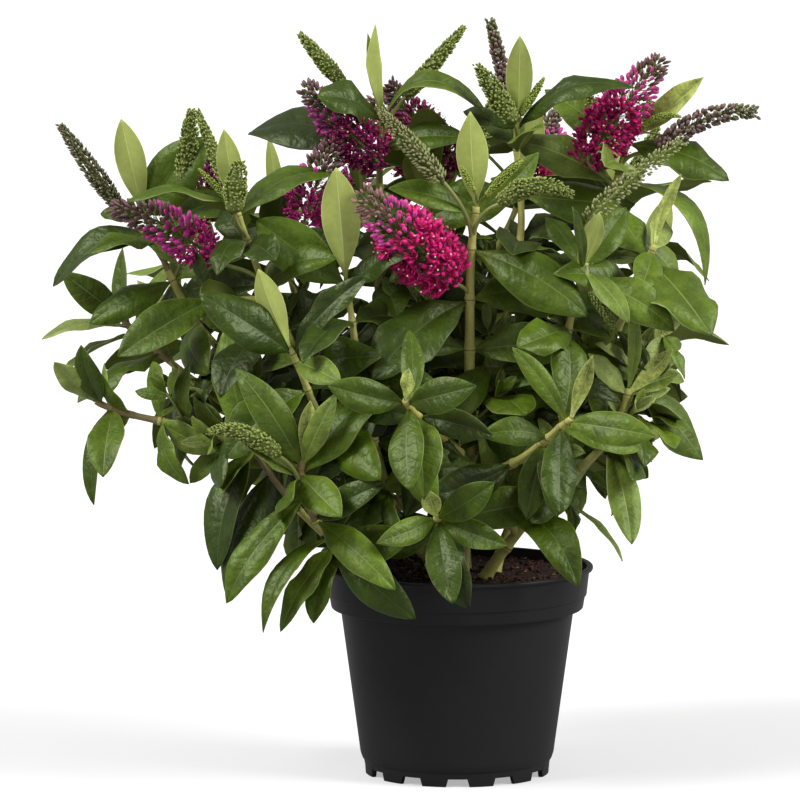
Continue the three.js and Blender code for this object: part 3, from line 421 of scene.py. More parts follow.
# %% Masses
# Name, stem, share along the stem, root, shoots. A shoot is: tip, aim, where it joins the
# first shoot, leaf pairs, racemes. A pair is: distance back from the tip, turn (0 looks to
# the front, 90 to the right), splay off the axis, length, splay of the opposite leaf (0 for
# none). A raceme is: distance back from the tip, reach of stalk and spike, width, stage.
# Two lists of pairs come up again and again at the back, so they have names.
BACK_SIDE = [[0, 0, 14, 50, 8], [4, 90, 66, 64], [12, 180, 74, 62], [30, 90, 90, 66]]
BACK_LOW = [[0, 0, 16, 44, 8], [4, 90, 70, 60], [12, 180, 80, 60]]
MASSES = [
    ["crown", "stem_main", 1, [7, -41, 258], [
        [[11, -45, 360], [0.15, -0.05, 1], 0, [
            [0, 283, 12, 60, 8], [4, 285, 80, 58, 40], [27, 65, 111, 86, 95],
            [58, 306, 121, 86, 90], [89, 85, 85, 68],
        ], [
            [27, [-17, -17, 43], [-37, -2, 42], 15, "green"],
            [24, [16, -17, 27], [42, -15, 8], 14, "green"],
            [58, [-7, -10, 9], [-55, -26, 55], 40, "flower"],
            [1, [6, -5, 8], [22, -8, 22], 6, "young"],
            [1, [-1, -7, 11], [-8, -4, 15], 5, "young"],
        ]],
    ]],
    ["top_right", "stem_main", 0.84, [39, -4, 338], [
        [[37, -5, 409], [0.1, 0, 1], 0, [
            [0, 340, 12, 56, 8], [4, 73, 61, 78, 75], [18, 200, 68, 55], [46, 95, 100, 72],
        ], [
            [18, [-1, -10, 17], [-22, -3, 34], 15, "green"],
            [18, [-4, 15, 27], [-12, 2, 51], 11, "mauve"],
            [1, [2, -3, 5], [14, -2, 23], 6, "young"],
        ]],
    ]],
    ["top_left", "stem_back_left", 1, [-48, 14, 340], [
        [[-48, 10, 413], [0.03, 0, 1], 0, [
            [0, 320, 12, 57, 10], [4, 320, 68, 56, 0], [9, 53, 60, 52, 0], [23, 250, 80, 62],
            [48, 345, 100, 66],
        ], [
            [23, [-22, 5, 40], [-26, 3, 30], 12, "green"],
            [23, [16, 0, 33], [35, 0, 42], 12, "green"],
            [48, [2, -10, 15], [-46, -16, 49], 30, "flower"],
        ]],
    ]],
    ["back_centre", "stem_back", 1, [-17, 24, 292], [
        [[-20, 20, 367], [-0.1, 0, 1], 0, [
            [0, 20, 19, 55, 12], [9, 337, 36, 40, 50], [25, 90, 72, 60], [50, 0, 95, 66],
        ], [
            [18, [21, 5, 23], [-43, 5, 55], 28, "flower"],
        ]],
        [[-60, 62, 357], [-0.19, 0, 0.98], 0.45, [
            [0, 31, 15, 34, 10], [4, 120, 60, 34], [28, 60, 80, 58],
        ], []],
    ]],
    ["left_upper", "stem_left", 0.9, [-106, -40, 282], [
        [[-136, -45, 358], [-0.3, 0, 0.95], 0, [
            [0, 47, 12, 52, 8], [4, 290, 60, 72, 82], [20, 337, 92, 50], [23, 19, 99, 50, 60],
            [50, 235, 80, 62],
        ], [
            [22, [-8, -15, 20], [3, -4, 28], 16, "green"],
            [22, [-14, 20, 34], [-17, 7, 44], 10, "green"],
            [1, [-2, -1, 4], [-21, -2, 22], 5, "young"],
            [52, [22, 20, 34], [19, 10, 52], 30, "flower"],
            [52, [-30, 10, 14], [-61, -4, 34], 28, "flower"],
        ]],
        [[-150, -40, 303], [-0.8, -0.3, 0.25], 0.5, [
            [0, 327, 43, 72, 50], [16, 60, 60, 50],
        ], []],
    ]],
    ["left_top", "stem_back_left", 0.88, [-158, -2, 278], [
        [[-195, 0, 352], [-0.4, 0, 0.9], 0, [
            [0, 53, 14, 62, 8], [4, 77, 59, 64, 60], [12, 275, 91, 70], [20, 312, 74, 52],
            [46, 100, 90, 62],
        ], [
            [36, [10, -6, 47], [6, -2, 48], 15, "green"],
            [40, [-31, 0, 41], [-35, 0, 49], 14, "green"],
            [36, [16, 20, 22], [14, 4, 44], 24, "flower"],
        ]],
    ]],
    ["left_mid", "stem_left", 0.82, [-152, 8, 236], [
        [[-209, 26, 281], [-0.75, 0.15, 0.65], 0, [
            [0, 346, 21, 50, 0], [4, 289, 51, 56, 45], [10, 283, 73, 54], [30, 292, 76, 66, 60],
        ], []],
    ]],
    ["left_centre", "stem_left", 1, [-61, -57, 264], [
        [[-69, -60, 316], [-0.18, 0, 0.98], 0, [
            [0, 29, 12, 73, 8], [4, 260, 45, 69, 63], [26, 330, 100, 64],
        ], []],
    ]],
    ["left_front", "stem_left", 0.72, [-82, -68, 228], [
        [[-103, -85, 277], [-0.42, -0.22, 0.88], 0, [
            [0, 110, 5, 55, 6], [4, 280, 30, 70, 68], [10, 33, 97, 50], [30, 300, 98, 66],
        ], []],
    ]],
    ["low_left", "stem_left", 0.4, [-68, -78, 150], [
        [[-95, -100, 210], [0.26, -0.21, 0.94], 0, [
            [0, 308, 9, 32, 0], [4, 265, 41, 72, 0], [4, 65, 15, 54, 0], [10, 286, 55, 42, 0],
            [10, 102, 40, 76, 0], [9, 30, 102, 50, 0], [24, 299, 116, 80, 60],
            [40, 72, 82, 56, 0], [42, 29, 121, 74, 0], [56, 27, 136, 72, 0], [57, 318, 87, 68, 0],
            [61, 323, 84, 66, 0], [64, 332, 95, 52, 0],
        ], [
            [24, [-14, -16, 27], [-41, -4, 16], 13, "green"],
        ]],
        [[-127, -62, 214], [-0.5, 0, 0.85], 0.25, [
            [0, 293, 129, 80, 20], [4, 319, 101, 46, 40], [20, 271, 122, 80, 60],
        ], []],
    ]],
    ["front", "stem_main", 0.93, [-12, -66, 221], [
        [[-33, -120, 249], [-0.33, -0.77, 0.54], 0, [
            [0, 130, 31, 26, 0], [4, 269, 44, 52, 77], [9, 2, 84, 58, 95], [25, 7, 79, 56],
            [28, 70, 88, 48],
        ], []],
    ]],
    ["low_front", "stem_main", 0.36, [-6, -66, 166], [
        [[-14, -110, 176], [-0.12, -0.97, 0.2], 0, [
            [0, 192, 43, 24, 0], [4, 117, 59, 50, 51], [9, 13, 69, 58], [9, 68, 65, 52, 0],
            [15, 19, 70, 60, 0],
        ], []],
    ]],
    ["front_right", "stem_main", 0.74, [40, -70, 208], [
        [[68, -105, 236], [0.61, -0.6, 0.52], 0, [
            [0, 209, 34, 44, 0], [4, 54, 40, 60, 83], [10, 184, 79, 62, 97], [12, 86, 74, 54, 0],
            [25, 279, 100, 44, 0], [30, 7, 126, 49, 0], [34, 30, 110, 46, 0],
        ], []],
    ]],
    ["right_upper", "stem_right", 1, [66, -54, 276], [
        [[78, -60, 327], [0.28, 0, 0.96], 0, [
            [0, 354, 21, 36, 12], [4, 31, 35, 52, 40], [4, 47, 113, 50, 60], [12, 69, 97, 66],
        ], [
            [23, [6, -6, 47], [58, 6, 49], 14, "mauve"],
            [3, [2, -6, -9], [16, 4, -28], 9, "green"],
        ]],
    ]],
    ["right_top", "stem_back_right", 1, [90, 8, 338], [
        [[107, 10, 398], [0.31, 0, 0.95], 0, [
            [0, 60, 35, 62, 0], [4, 72, 87, 68, 75], [30, 75, 120, 76, 80], [24, 350, 85, 60],
        ], [
            [20, [23, -10, 12], [58, -6, 24], 15, "mauve"],
            [4, [30, -5, 2], [18, -4, -12], 6, "young"],
            [36, [-10, -8, 18], [46, 4, 62], 34, "flower"],
            [12, [-11, 10, 22], [-14, 0, 19], 7, "green"],
            [1, [5, -5, 11], [8, -3, 14], 5, "young"],
            [1, [8, -8, 8], [23, -6, 7], 5, "young"],
        ]],
    ]],
    ["right_mid", "stem_back_right", 0.88, [101, -34, 288], [
        [[121, -40, 336], [0.41, 0, 0.91], 0, [
            [0, 345, 20, 50, 0], [4, 0, 120, 42, 60], [10, 45, 108, 74, 70], [28, 300, 90, 60],
        ], []],
    ]],
    ["right_low", "stem_right", 0.84, [88, -42, 210], [
        [[105, -50, 248], [0.24, 0, 0.97], 0, [
            [0, 315, 18, 54, 0], [4, 290, 57, 38], [4, 8, 52, 30, 70], [36, 32, 115, 74, 60],
        ], []],
        [[127, -20, 279], [0.56, 0.3, 0.75], 0.15, [
            [0, 62, 162, 36, 0], [1, 73, 118, 34, 0], [10, 145, 54, 46, 40], [4, 20, 15, 30, 10],
        ], []],
        [[113, -20, 237], [0.64, 0, 0.77], 0.1, [
            [4, 53, 83, 58, 50], [10, 43, 84, 52, 60], [14, 53, 104, 58], [34, 47, 116, 64, 0],
        ], []],
    ]],
    ["low_right", "stem_right", 0.45, [34, -46, 174], [
        [[63, -44, 180], [1, -0.1, 0.05], 0, [
            [0, 358, 45, 58, 0], [4, 302, 52, 50, 0], [34, 26, 69, 82, 60],
        ], []],
    ]],
    ["far_left", "stem_left", 0.62, [-148, -38, 217], [
        [[-224, -34, 238], [-0.89, 0.06, 0.45], 0, [
            [0, 22, 40, 40, 0], [4, 41, 57, 46, 0], [12, 307, 100, 48, 0], [10, 282, 100, 62, 60],
            [23, 40, 44, 34, 60], [40, 313, 152, 46, 110], [43, 285, 116, 44, 70],
            [59, 57, 76, 42, 80],
        ], []],
    ]],
    ["back_left_top", "stem_back_left", 0.74, [-92, 70, 264], [
        [[-112, 92, 333], [-0.2, 0.2, 1], 0, [
            [0, 20, 12, 60, 8], [4, 110, 70, 70], [10, 190, 62, 68], [28, 100, 92, 72],
            [54, 20, 100, 70],
        ], [
            [28, [-12, 14, 36], [-18, 10, 50], 14, "green"],
            [28, [18, 16, 26], [34, 10, 40], 30, "flower"],
        ]],
        [[-150, 66, 314], [-0.5, 0.3, 0.85], 0.2, [
            [0, 0, 12, 56, 8], [4, 80, 60, 66], [12, 180, 70, 62], [30, 80, 95, 68],
        ], [
            [8, [-10, 10, 20], [-30, 8, 42], 12, "mauve"],
        ]],
    ]],
    ["back_top", "stem_back", 0.88, [8, 92, 286], [
        [[-8, 108, 364], [-0.1, 0.15, 1], 0, [
            [0, 10, 12, 58, 8], [4, 100, 68, 74], [10, 190, 64, 66], [28, 100, 95, 74],
            [54, 180, 98, 70],
        ], [
            [28, [14, 12, 34], [16, 6, 50], 13, "green"],
            [28, [-16, 14, 24], [-30, 12, 50], 32, "flower"],
        ]],
        [[42, 96, 358], [0.25, 0.1, 1], 0.2, [
            [0, 340, 12, 56, 8], [4, 70, 66, 70], [12, 160, 70, 64], [32, 70, 95, 68],
        ], [
            [8, [8, 12, 18], [20, 10, 44], 12, "mauve"],
        ]],
    ]],
    ["back_right_top", "stem_back_right", 0.74, [84, 70, 266], [
        [[94, 92, 346], [0.12, 0.2, 1], 0, [
            [0, 350, 12, 60, 8], [4, 80, 68, 72], [10, 170, 66, 66], [28, 80, 95, 72],
            [54, 350, 98, 70],
        ], [
            [28, [14, 12, 30], [22, 12, 46], 13, "green"],
            [28, [-14, 16, 26], [-20, 20, 52], 32, "flower"],
        ]],
        [[118, 72, 304], [0.3, 0.3, 0.9], 0.2, [
            [0, 0, 12, 54, 8], [4, 90, 62, 66], [12, 180, 70, 62], [30, 90, 95, 68],
        ], []],
    ]],
    ["back_left", "stem_back_left", 0.55, [-118, 82, 214], [
        [[-170, 102, 262], [-0.7, 0.3, 0.65], 0, [
            [0, 0, 14, 50, 8], [4, 90, 62, 64], [12, 180, 74, 62], [30, 80, 90, 70],
            [54, 170, 95, 66],
        ], []],
        [[-104, 146, 232], [-0.3, 0.8, 0.5], 0.1, BACK_SIDE, []],
        [[-72, 118, 176], [0.2, 0.85, 0.3], 0, BACK_LOW + [[28, 90, 100, 64]], []],
    ]],
    ["back_mid", "stem_back", 0.62, [14, 104, 226], [
        [[-14, 156, 288], [-0.2, 0.6, 0.75], 0, [
            [0, 0, 14, 52, 8], [4, 90, 62, 68], [12, 180, 72, 64], [30, 90, 90, 70],
            [54, 0, 95, 66],
        ], []],
        [[48, 152, 252], [0.4, 0.75, 0.5], 0.15, [
            [0, 0, 14, 50, 8], [4, 90, 64, 64], [12, 180, 74, 62], [30, 90, 92, 66],
        ], []],
        [[18, 146, 188], [0.1, 0.9, 0.25], 0.05, BACK_LOW + [[28, 90, 100, 62]], []],
    ]],
    ["back_right", "stem_back_right", 0.55, [84, 66, 218], [
        [[112, 96, 266], [0.5, 0.35, 0.8], 0, [
            [0, 0, 14, 50, 8], [4, 90, 62, 64], [12, 180, 74, 62], [30, 100, 90, 70],
            [54, 10, 95, 66],
        ], []],
        [[86, 144, 236], [0.25, 0.85, 0.5], 0.1, BACK_SIDE, []],
        [[106, 66, 194], [0.7, 0.2, 0.35], 0, BACK_LOW + [[28, 90, 100, 60]], []],
    ]],
]
print("masses:", len(MASSES), "shoots:", sum(len(shoots) for *_, shoots in MASSES))

# %% [markdown]
# ## Axes
# A plant is drawn from its axes outwards. Each stem is one smooth curve from the soil, each
# bough leaves its stem on another, and a mass goes on from its bough's tip. Working out all the
# curves first means that bark, leaves and flowers can share them, and meet where they should.

# %% Stems, boughs and shoots as curves
STEM_RISE = 0.2  # how far stems turn upright at the foot, over their length
TIP_RISE = 30.0  # and at the tip, in millimetres
BOUGH_SHARE = 0.6  # a bough ends this far along its way, where its mass begins
BOUGH_RISE = 0.15
BOUGH_SLENDER = 0.86  # a bough off a stem's side, over the stem's tip
TWIG_ROOT, TWIG_TIP, SIDE_TWIG = 2.9, 1.8, 0.8
STOUT = {"crown": 1.25}  # the leading shoot is the thickest

Axis = namedtuple("Axis", "mass key way pairs racemes carrier")

stem_ways = {}
for name, (x, y), tip, foot_radius, tip_radius in STEMS:
    foot = np.array([x, y, SOIL_TOP])
    lean = np.array(tip) - foot
    way = bend(foot, lean + UP * np.linalg.norm(lean) * STEM_RISE, tip, lean + UP * TIP_RISE)
    stem_ways[name] = (way, foot_radius, tip_radius)

bough_ways = {}
axes = []
for index, (name, stem, share, root, shoots) in enumerate(MASSES):
    way, _, tip_radius = stem_ways[stem]
    foot, stem_heading = spot(way, share * way.travel[-1])
    root = np.array(root)
    tip, aim = np.array(shoots[0][0]), np.array(shoots[0][1])
    travel, onward = unit(root - foot), unit(tip - root)
    at_tip = share == 1
    heading = stem_heading if at_tip else travel * (1 - BOUGH_RISE) + UP * BOUGH_RISE
    inner = bend(foot, heading, root, travel + onward)
    outer = bend(root, travel + onward, tip, aim)
    bough = section(inner, 0, BOUGH_SHARE)
    bough_ways[name] = (bough, tip_radius * (1 if at_tip else BOUGH_SLENDER))
    main = chain(section(inner, BOUGH_SHARE, 1), outer)
    for number, (tip, aim, join, pairs, racemes) in enumerate(shoots):
        if number:
            start, heading = spot(main, join * main.travel[-1])
            way = bend(start, heading, tip, aim)
        else:
            way = main
        carrier = None if number else bough
        axes.append(Axis(name, index * 10 + number, way, pairs, racemes, carrier))
print("stems:", len(stem_ways), "boughs:", len(bough_ways), "shoots:", len(axes))

# %% [markdown]
# ## Leaf pairs
# Every node carries two leaves that face each other, and each next pair stands a quarter turn
# on. The plan names the young pairs near a tip; below them the rule goes on every 31 mm with
# older, larger, drooping leaves, down the twig and along its bough. A short shoot of small
# leaves wakes in some of the leaf corners, as on the real plant, and fills the crown.

# %% The nodes of an axis
OLDER = {"gap": 31, "bare": 6, "splay": 104, "splay_spread": 24, "turn_spread": 40,
         "length": 66, "shortest": 0.85, "longest": 1.1}
OPPOSITE_LENGTH = 0.94

Leaf = namedtuple("Leaf", "mass base chord face length kind seed width steps", defaults=(1.0, 0))


def node_on(way, back):
    """The axis at a distance back from its tip, with its right and its front: right is +X with
    its share along the heading taken off, front is right x heading."""
    here, heading = spot(way, way.travel[-1] - back)
    right = unit(RIGHT - heading * heading[0])
    return here, heading, right, np.cross(right, heading)


def leaf_chord(heading, right, front, turn, splay):
    """cos(splay) x heading + sin(splay) x (cos(turn) x front + sin(turn) x right)."""
    turn, splay = math.radians(turn), math.radians(splay)
    away = front * math.cos(turn) + right * math.sin(turn)
    return heading * math.cos(splay) + away * math.sin(splay)


def older_pairs(length, planned, key):
    """Pairs below those of the plan, down to the foot of an axis of the given length."""
    back, turn = planned[-1][:2]
    pairs = []
    step = 0
    while back + OLDER["gap"] < length - OLDER["bare"]:
        back += OLDER["gap"]
        turn += 90 + OLDER["turn_spread"] * (chance(key, step, 1) - 0.5)
        splay = OLDER["splay"] + OLDER["splay_spread"] * (chance(key, step, 2) - 0.5)
        size = OLDER["shortest"] + (OLDER["longest"] - OLDER["shortest"]) * chance(key, step, 3)
        pairs.append([back, turn, splay, OLDER["length"] * size])
        step += 1
    return pairs

# %% Where each leaf looks
LEAF_OUTWARD, LEAF_FRONTWARD = 0.35, 1.1  # shares out from the plant and to the front
FRONT_DEPTH = 60.0  # the share to the front fades to nothing this far behind the middle
ROLL_JITTER = 14.0
FRESH_BACK, FRESH_LENGTH = 12, 60  # leaves nearer to the tip and shorter than this are fresh
YOUNG_SPLAY = 30  # a tip pair with less splay than this still clasps its shoot
YOUNG_TURN = {"top_left": 56}  # degrees that a tip pair is turned from the front
CLASP_OPENING, CLASP_JITTER, INNER_LENGTH = 3, 16, 0.9

# %% Leaves with a character of their own
Touch = namedtuple("Touch", "look width length steps kind", defaults=(None, 1.0, 1.0, 0, None))
TOUCHES = {  # axis, row, side: how far it looks to the front, shares of width and length,
    # steps to a darker green, and another kind
    (0, 1, 0): Touch(1.1, 0.8, 1.0, 1), (0, 3, 0): Touch(steps=1),
    (10, 1, 0): Touch(0.6, 0.72, 1.0, 1), (10, 1, 1): Touch(length=0.5, steps=1),
    (20, 1, 0): Touch(1.4, 1.2, 0.88), (20, 2, 0): Touch(0.5, 0.8, 1.0, 0, "arched"),
    (20, 3, 0): Touch(0.6, 1.2, 1.45, 1),
    (30, 0, 0): Touch(width=1.1, kind="grown"), (40, 1, 0): Touch(look=0.0),
    (41, 0, 0): Touch(1.1, 1.1, 1.0, 2), (41, 0, 1): Touch(length=0.5, steps=2),
    (50, 1, 0): Touch(2.5, 1.25, 1.0, 1), (50, 1, 1): Touch(length=0.5, steps=1),
    (50, 2, 0): Touch(steps=2),
    (60, 0, 0): Touch(2.0, 1.1), (60, 1, 1): Touch(steps=2),
    (80, 1, 1): Touch(1.1, 0.6, 1.0, 1),
    (90, 0, 0): Touch(3.0, 0.85, 1.25, -1, "young"), (90, 1, 0): Touch(1.1, 0.74, 1.0, 1),
    (90, 2, 0): Touch(1.1, 0.7), (90, 3, 0): Touch(steps=-1),
    (90, 5, 0): Touch(width=1.15, steps=1), (90, 6, 0): Touch(1.1, 0.66),
    (90, 7, 0): Touch(1.1, 0.75), (90, 8, 0): Touch(1.1, 0.68, 1.0, -1),
    (90, 9, 0): Touch(1.1, 0.74, 1.0, 1), (90, 10, 0): Touch(0.4, 0.7, 1.1, 1, "arched"),
    (90, 11, 0): Touch(0.8, 0.6, 1.0, 1), (90, 12, 0): Touch(1.1, 0.85),
    (91, 0, 0): Touch(steps=3), (91, 2, 0): Touch(steps=1),
    (100, 0, 0): Touch(width=1.2, kind="young"),
    (100, 1, 0): Touch(1.4, 1.2), (100, 1, 1): Touch(1.4, 1.2),
    (100, 2, 0): Touch(steps=1), (100, 2, 1): Touch(width=0.75, steps=1),
    (100, 3, 1): Touch(width=0.5, length=0.7, steps=2),
    (110, 0, 0): Touch(3.0, 1.6, 1.0, 0, "young"), (110, 2, 0): Touch(steps=2),
    (110, 3, 0): Touch(1.1, 0.85, 1.0, 2), (110, 4, 0): Touch(steps=2),
    (120, 0, 0): Touch(width=0.75, kind="young"), (120, 1, 0): Touch(width=0.82),
    (120, 1, 1): Touch(width=0.7), (120, 2, 0): Touch(steps=1), (120, 2, 1): Touch(steps=2),
    (130, 1, 0): Touch(steps=2), (130, 1, 1): Touch(width=0.8, steps=2),
    (130, 2, 0): Touch(width=0.78, steps=1), (130, 2, 1): Touch(steps=1),
    (130, 5, 1): Touch(length=0.6, steps=1),
    (140, 0, 0): Touch(width=0.9, kind="young"), (140, 2, 0): Touch(0.4, 1.1, 1.12, 0, "arched"),
    (150, 0, 0): Touch(width=0.62, kind="young"), (150, 1, 0): Touch(3.0, 1.4, 1.0, 3),
    (150, 2, 0): Touch(1.1, 1.35), (150, 2, 1): Touch(steps=1),
    (150, 4, 0): Touch(length=0.55, steps=1),
    (160, 0, 0): Touch(width=0.5, steps=2), (160, 2, 0): Touch(3.0, 0.72, 0.84, 0, "young"),
    (160, 3, 0): Touch(1.1, 0.62),
    (161, 0, 0): Touch(3.0, 1.2, 1.0, -1), (161, 1, 0): Touch(steps=1),
    (161, 2, 0): Touch(length=0.6, steps=2), (161, 4, 0): Touch(1.1, 1.1, 1.08, -1),
    (162, 0, 0): Touch(length=0.85, steps=1),
    (170, 0, 0): Touch(0.3, 0.45), (170, 2, 0): Touch(1.1, 0.9, 0.93, 1),
    (180, 0, 0): Touch(3.0, 1.0, 1.05), (180, 1, 0): Touch(3.0, 1.1, 1.0, 3),
    (180, 2, 0): Touch(5.0, 1.3, 1.1, 1),
    (180, 3, 0): Touch(width=0.6, steps=1), (180, 3, 1): Touch(length=0.5, steps=1),
    (190, 0, 0): Touch(width=0.55), (200, 0, 0): Touch(length=0.7), (211, 1, 0): Touch(length=0.55),
    (242, 1, 0): Touch(length=0.5, steps=1), (242, 2, 0): Touch(length=0.7),
    (660, 1, 1): Touch(length=0.55), (240, 3, 0): Touch(length=0.5), (740, 1, 1): Touch(length=0.5),
}
NUDGED = {  # pairs that reach a little further than the rule, by axis and row
    (20, 1): [4, 312, 72, 62, 0], (20, 2): [9, 78, 82, 70, 0], (130, 1): [4, 149, 38, 52, 40],
    (160, 2): [4, 60, 30, 50, 0],
}


def turned_about(vector, axis, degrees):
    """A vector turned about an axis at right angles to it: v cos + (a x v) sin."""
    angle = math.radians(degrees)
    return vector * math.cos(angle) + np.cross(axis, vector) * math.sin(angle)


def grown_face(base, heading, chord, roll, look=None):
    """The side of a leaf that looks at the light: up its shoot, out from the plant and, less
    and less towards the back, to the front; then made square to the leaf and rolled a little.
    A look takes the place of the share to the front."""
    outward = unit([base[0], base[1], 0.001])
    front = min(max(1 - base[1] / FRONT_DEPTH, 0), 1)
    look = LEAF_FRONTWARD * front if look is None else look
    facing = heading + outward * LEAF_OUTWARD + FRONT * look
    face = unit(facing - chord * (facing @ chord))
    return turned_about(face, chord, roll)


def clasped_pair(mass, base, front, chord, length, seed, touch):
    """The two youngest leaves, back to back with the shoot between them. They share the chord
    and open a few degrees to the front and to the rear."""
    opening = unit(front - chord * (front @ chord))
    aside = YOUNG_TURN.get(mass, 0) + CLASP_JITTER * (chance(seed, 1, 9) - 0.5)
    opening = turned_about(opening, chord, aside)
    gap = math.radians(CLASP_OPENING)
    for side, share, by_side in ((1, 1, "young"), (-1, INNER_LENGTH, "inner")):
        along = unit(chord * math.cos(gap) + opening * math.sin(gap) * side)
        yield Leaf(mass, base, along, -opening * side, length * touch.length * share,
                   touch.kind or by_side, seed, touch.width, touch.steps)


def age_of(older, row, back, length):
    """Old below the pairs of the plan, fresh near the tip, and grown between them."""
    if older:
        return "old"
    near_tip = row == 0 or (back <= FRESH_BACK and length < FRESH_LENGTH)
    return "fresh" if near_tip else "grown"


def grow_pair(axis, row, pair, older):
    """Both leaves of one pair as Leaf records, the second half a turn on from the first. A
    leaf that has a look of its own is not rolled."""
    pair = NUDGED.get((axis.key, row), pair)
    back, turn, splay, length = pair[:4]
    opposite = pair[4] if len(pair) > 4 else splay
    base, heading, right, front = node_on(axis.way, back)
    seed = axis.key * 20 + row
    chord = leaf_chord(heading, right, front, turn, splay)
    if row == 0 and splay < YOUNG_SPLAY and opposite:
        touch = TOUCHES.get((axis.key, row, 0), Touch())
        yield from clasped_pair(axis.mass, base, front, chord, length, seed, touch)
        return
    sides = [(turn, splay, length)]
    if opposite:
        sides.append((turn + 180, opposite, length * OPPOSITE_LENGTH))
    for side, (leaf_turn, leaf_splay, leaf_length) in enumerate(sides):
        roll = ROLL_JITTER * (2 * chance(axis.key, row, side + 4) - 1)
        touch = TOUCHES.get((axis.key, row, side), Touch())
        chord = leaf_chord(heading, right, front, leaf_turn, leaf_splay)
        face = grown_face(base, heading, chord, roll if touch.look is None else 0, touch.look)
        kind = touch.kind or age_of(older, row, back, leaf_length)
        yield Leaf(axis.mass, base, chord, face, leaf_length * touch.length, kind,
                   seed + 0.5 * side, touch.width, touch.steps)

# %% Short shoots in the leaf corners
BUDDING = {  # share of the corners with a shoot, its reach, splay and leaf length, the lowest
    # height and the foremost depth for one, and how far from a tip they start
    "share": 0.4, "reach": 17, "splay": 46, "leaf": 25, "lowest": 185, "behind": -42, "back": 34,
}
SPROUT_ROWS = [(0, 16, 0.72), (3, 48, 1.0), (10, 72, 1.08)]  # back, splay, share of the leaf
SPROUT_BARE = 4  # a shoot has no leaves this close to its foot
SPLAY_JITTER, SMALL_ROLL_JITTER = 14, 20
ASLEEP = [(140, 4, 1)]  # corners whose shoot would hide flowers, by axis, row and side
SPROUT_LIFT, SPROUT_ALONG, SPROUT_UP = 0.12, 0.6, 0.3  # how a shoot bends up and along its twig
Sprout = namedtuple("Sprout", "mass way seed")


def sprouts_of(axis, row, pair):
    """Short side shoots of one node: they leave the corner between twig and leaf, bend up along
    the twig and end after 10 to 25 mm. Chance says which corners have one."""
    back, turn = pair[:2]
    node, heading, right, front = node_on(axis.way, back)
    for side in range(2):
        seed = axis.key * 31 + row * 2 + side + 0.25
        awake = chance(seed, 1, 1) <= BUDDING["share"] and (axis.key, row, side) not in ASLEEP
        inside = node[1] > BUDDING["behind"] and node[2] >= BUDDING["lowest"]
        if not (awake and inside):
            continue
        out = leaf_chord(heading, right, front, turn + 180 * side, BUDDING["splay"])
        reach = BUDDING["reach"] * (0.6 + 0.9 * chance(seed, 2, 1))
        tip = node + out * reach + UP * reach * SPROUT_LIFT
        aim = out + heading * SPROUT_ALONG + UP * SPROUT_UP
        yield Sprout(axis.mass, bend(node, out, tip, aim, 12), seed)


def sprout_leaves(sprout):
    """Two or three pairs of small leaves: nearly upright at the tip, spreading lower down."""
    seed = sprout.seed
    reach = sprout.way.travel[-1]
    turn = 360 * chance(seed, 3, 1)
    for row, (back, splay, share) in enumerate(SPROUT_ROWS):
        if back > reach - SPROUT_BARE:
            continue
        base, heading, right, front = node_on(sprout.way, back)
        size = BUDDING["leaf"] * share * (0.75 + 0.6 * chance(seed, 4, 1))
        for side in range(2):
            leaf_turn = turn + 90 * row + 180 * side
            leaf_splay = splay + SPLAY_JITTER * (chance(seed, row, side) - 0.5)
            chord = leaf_chord(heading, right, front, leaf_turn, leaf_splay)
            roll = SMALL_ROLL_JITTER * (chance(seed, row, 5 + side) - 0.5)
            face = grown_face(base, heading, chord, roll)
            yield Leaf(sprout.mass, base, chord, face, size, "bud", seed + row + 0.3 * side)

# %% All the leaves
BOUGH_LOWEST = 175  # leaves on the boughs start at this height
BOUGH_FIRST = 0.4  # gaps from a bough's tip to its first pair

leaves, sprouts = [], []
node_marks = {axis.key: [] for axis in axes}  # how far back the nodes of each axis are
for axis in axes:
    reach = axis.way.travel[-1]
    pairs = [(pair, False) for pair in axis.pairs]
    pairs += [(pair, True) for pair in older_pairs(reach, axis.pairs, axis.key)]
    for row, (pair, older) in enumerate(pairs):
        leaves.extend(grow_pair(axis, row, pair, older))
        node_marks[axis.key].append(pair[0])
        if pair[0] > BUDDING["back"]:
            sprouts.extend(sprouts_of(axis, row, pair))
    if axis.carrier is not None:  # the rule goes on down the bough that carries the mass
        bough = axis._replace(way=axis.carrier, key=axis.key + 500)
        start = [[OLDER["gap"] * BOUGH_FIRST - OLDER["gap"], pairs[-1][0][1] + 90]]
        for row, pair in enumerate(older_pairs(axis.carrier.travel[-1], start, bough.key)):
            if node_on(axis.carrier, pair[0])[0][2] > BOUGH_LOWEST:
                leaves.extend(grow_pair(bough, row + 1, pair, True))
                sprouts.extend(sprouts_of(bough, row + 1, pair))
for sprout in sprouts:
    leaves.extend(sprout_leaves(sprout))
print("leaves:", len(leaves), "short shoots:", len(sprouts))

# %% [markdown]
# ## Leaf blades
# A hebe leaf is a leathery ellipse with a short stalk, a pale midrib, a thin pale edge and a
# paler underside. One formula draws them all at once: stations along the leaf, columns across
# it, and for each leaf its own arch, fold, twist and wave. The midrib and the edge are columns
# of their own, so they take plain colours of their own and need no picture.

